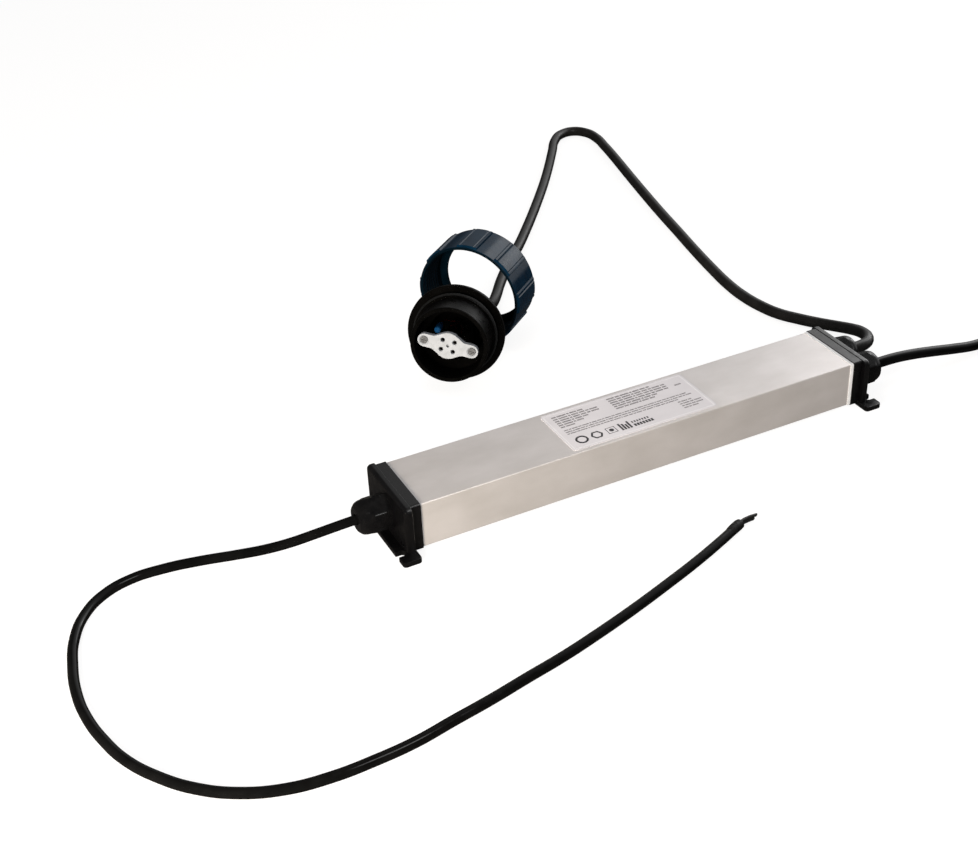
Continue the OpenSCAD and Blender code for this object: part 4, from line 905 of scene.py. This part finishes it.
def grip_pads(radius, height, angle):
    """Adds the pads outside, each with a thin groove by both edges, and the coarse thread to the mouth."""
    if radius > RING_R - 0.0012:
        off_centre = abs((math.degrees(angle) + 90 + PAD_SPACING / 2) % PAD_SPACING - PAD_SPACING / 2)
        side = 1 - smooth_step((off_centre - PAD_HALF) / 0.9) - 0.35 * (7.5 < off_centre < 8.6)
        along = smooth_step((height - PAD_END) / 0.001) * smooth_step((RING_LENGTH - PAD_END - height) / 0.001)
        return radius + PAD * side * along
    if abs(radius - RING_BORE) < 1e-6 and THREAD_START < height < THREAD_END:
        turn = (height / THREAD_PITCH - angle / math.tau) % 1.0
        ridge = smooth_step(turn / 0.3) * (1 - smooth_step((turn - 0.5) / 0.3))
        fade = smooth_step((height - THREAD_START) / 0.003) * smooth_step((THREAD_END - height) / 0.003)
        return radius - THREAD_RIDGE * ridge * fade
    return radius


def union_shell():
    """The ring's section: outside, lip, bore and mouth."""
    section = eased([(RING_BORE + 0.0006, 0.0, 0.0003), (RING_R, 0.0, 0.0009), (RING_R, RING_LENGTH, 0.0009),
                     (LIP_R, RING_LENGTH, 0.0006), (LIP_R, LIP_Z, 0.0006), (RING_BORE, LIP_Z, 0.0004),
                     (RING_BORE, 0.0006, 0.0002)], steps=3)
    return turned(even_steps(section, 0.0005), 360, grip_pads)


UNION = (Matrix.Translation((-0.0271, 0.204, 0.0445)) @ Matrix.Rotation(math.radians(128.8), 4, "Z")
         @ Matrix.Rotation(math.pi / 2, 4, "X"))
union_blue = mottled("union_blue", 0.012, shade(0.01, 0.10, 0.165), shade(0.026, 0.145, 0.22), gloss=0.25)
polish(union_blue, 0.02, 0.12, 0.24, stretch=(0.15, 0.15, 3))
emboss(union_blue, 0.004, 0.00001)
union_ring = make_piece("union_ring", union_shell(), union_blue, "union", "union_nut", place=UNION)
# Painted shade: the bore, the lip and both end faces take a darker copy of the ring's blue, for the shade
# inside the ring and at its ends.
ring_shade_finish = mottled("union_painted_shade", 0.01, shade(0.006, 0.04, 0.065), shade(0.012, 0.065, 0.10), gloss=0.15)
polish(ring_shade_finish, 0.005, 0.3, 0.45)
union_ring.data.materials.append(ring_shade_finish)
for face in union_ring.data.polygons:
    spot = UNION.inverted() @ face.center
    if spot.xy.length < RING_BORE + 0.0004 or not 0.0004 < spot.z < RING_LENGTH - 0.0004:
        face.material_index = 1


# The picture: a plain white table, soft light from above and behind, and the camera of the
# photograph. The white backdrop is bright behind the object and dim on the camera's side.

def flat_floor():
    """A wide white table top that keeps a faint shadow, and is dark where it is mirrored."""
    mesh = bpy.data.meshes.new("table_top")
    mesh.from_pydata([(-4, -4, 0), (4, -4, 0), (4, 4, 0), (-4, 4, 0)], [], [(0, 1, 2, 3)])
    floor = in_scene("table_top", mesh)
    floor.location.z = -0.0002
    finish = bpy.data.materials.new("white_table")
    finish.use_nodes = True
    tree = finish.node_tree
    tree.nodes.clear()
    path = add_node(tree, "LightPath", {}).outputs
    level = add_node(tree, "MapRange", {"Value": path["Is Camera Ray"], "To Min": 0.44, "To Max": 0.87})
    glow = add_node(tree, "MapRange", {"Value": path["Is Glossy Ray"], "To Min": level.outputs["Result"],
                                       "To Max": 0})
    white = add_node(tree, "Emission", {"Strength": glow.outputs["Result"]})
    matt = add_node(tree, "BsdfDiffuse", {"Color": (0.22, 0.212, 0.205, 1)})
    dark = add_node(tree, "BsdfDiffuse", {"Color": (0.05, 0.048, 0.046, 1)})
    either = add_node(tree, "MixShader", {"Fac": path["Is Glossy Ray"], 1: matt.outputs["BSDF"],
                                          2: dark.outputs["BSDF"]})
    both = add_node(tree, "AddShader", {0: either.outputs["Shader"], 1: white.outputs["Emission"]})
    add_node(tree, "OutputMaterial", {"Surface": both.outputs["Shader"]})
    mesh.materials.append(finish)


def studio_world():
    """White for the camera, a bright far right and a dim near side for reflections, and a soft fill."""
    world = bpy.data.worlds.new("studio")
    bpy.context.scene.world = world
    world.use_nodes = True
    tree = world.node_tree
    tree.nodes.clear()
    path = add_node(tree, "LightPath", {}).outputs
    where = add_node(tree, "TexCoord", {}).outputs["Generated"]
    facing = add_node(tree, "VectorMath", {0: where, 1: (0.88, 0.36, 0.31)}, operation="DOT_PRODUCT")
    bright = add_node(tree, "MapRange", {"Value": facing.outputs["Value"], "From Min": 0.6, "From Max": 0.95,
                                         "To Min": 0.07, "To Max": 1.1})
    fill = add_node(tree, "Background", {"Color": (0.97, 0.97, 1.0, 1), "Strength": 0.32})
    mirror = add_node(tree, "Background", {"Strength": bright.outputs["Result"]})
    white = add_node(tree, "Background", {"Color": (1, 1, 1, 1)})
    lit = add_node(tree, "MixShader", {"Fac": path["Is Glossy Ray"], 1: fill.outputs["Background"],
                                       2: mirror.outputs["Background"]})
    seen = add_node(tree, "Math", {0: path["Is Camera Ray"], 1: path["Is Transmission Ray"]},
                    operation="MAXIMUM")
    sky = add_node(tree, "MixShader", {"Fac": seen.outputs["Value"], 1: lit.outputs["Shader"],
                                       2: white.outputs["Background"]})
    add_node(tree, "OutputWorld", {"Surface": sky.outputs["Shader"]})


def soft_box(name, place, target, size, power, colour=(1, 1, 1), mirrored=True):
    """A square area light that faces a point, and is mirrored in glossy things or not."""
    light = bpy.data.lights.new(name, "AREA")
    light.shape, light.size, light.energy, light.color = "SQUARE", size, power, colour
    lamp = in_scene(name, light)
    lamp.location = place
    lamp.rotation_euler = (Vector(target) - Vector(place)).to_track_quat("-Z", "Y").to_euler()
    lamp.visible_glossy = mirrored
    lamp.visible_camera = False


flat_floor()
studio_world()
soft_box("overhead_box", (-0.3, 0.2, 1.6), (0, 0.1, 0), 0.6, 4, mirrored=False)
soft_box("left_box", (-0.75, -0.45, 0.22), (-0.12, 0, 0), 0.3, 15.5, (1, 0.92, 0.80), mirrored=False)
soft_box("edge_box", (0.12, -0.62, 0.95), (-0.1, 0, 0), 0.3, 2)
soft_box("right_box", (1.2, 0.55, 0.75), (0, 0.1, 0), 0.9, 4.4)
soft_box("far_box", (2.6, 1.0, 0.95), (0, 0, 0), 0.35, 3)

lens = bpy.data.cameras.new("photograph")
lens.lens, lens.sensor_width = 56.17, 36.0
lens.clip_start, lens.clip_end = 0.01, 100.0
camera = in_scene("photograph", lens)
right, down, ahead = (0.89095, -0.45240, -0.03914), (-0.27355, -0.46593, -0.84147), (0.36245, 0.76042, -0.53888)
camera.matrix_world = Matrix.Translation((-0.48546, -0.78617, 0.62246)) @ Matrix(
    [(r, -d, -a) for r, d, a in zip(right, down, ahead)]).to_4x4()
bpy.context.scene.camera = camera
bpy.context.scene.view_settings.view_transform = "Standard"
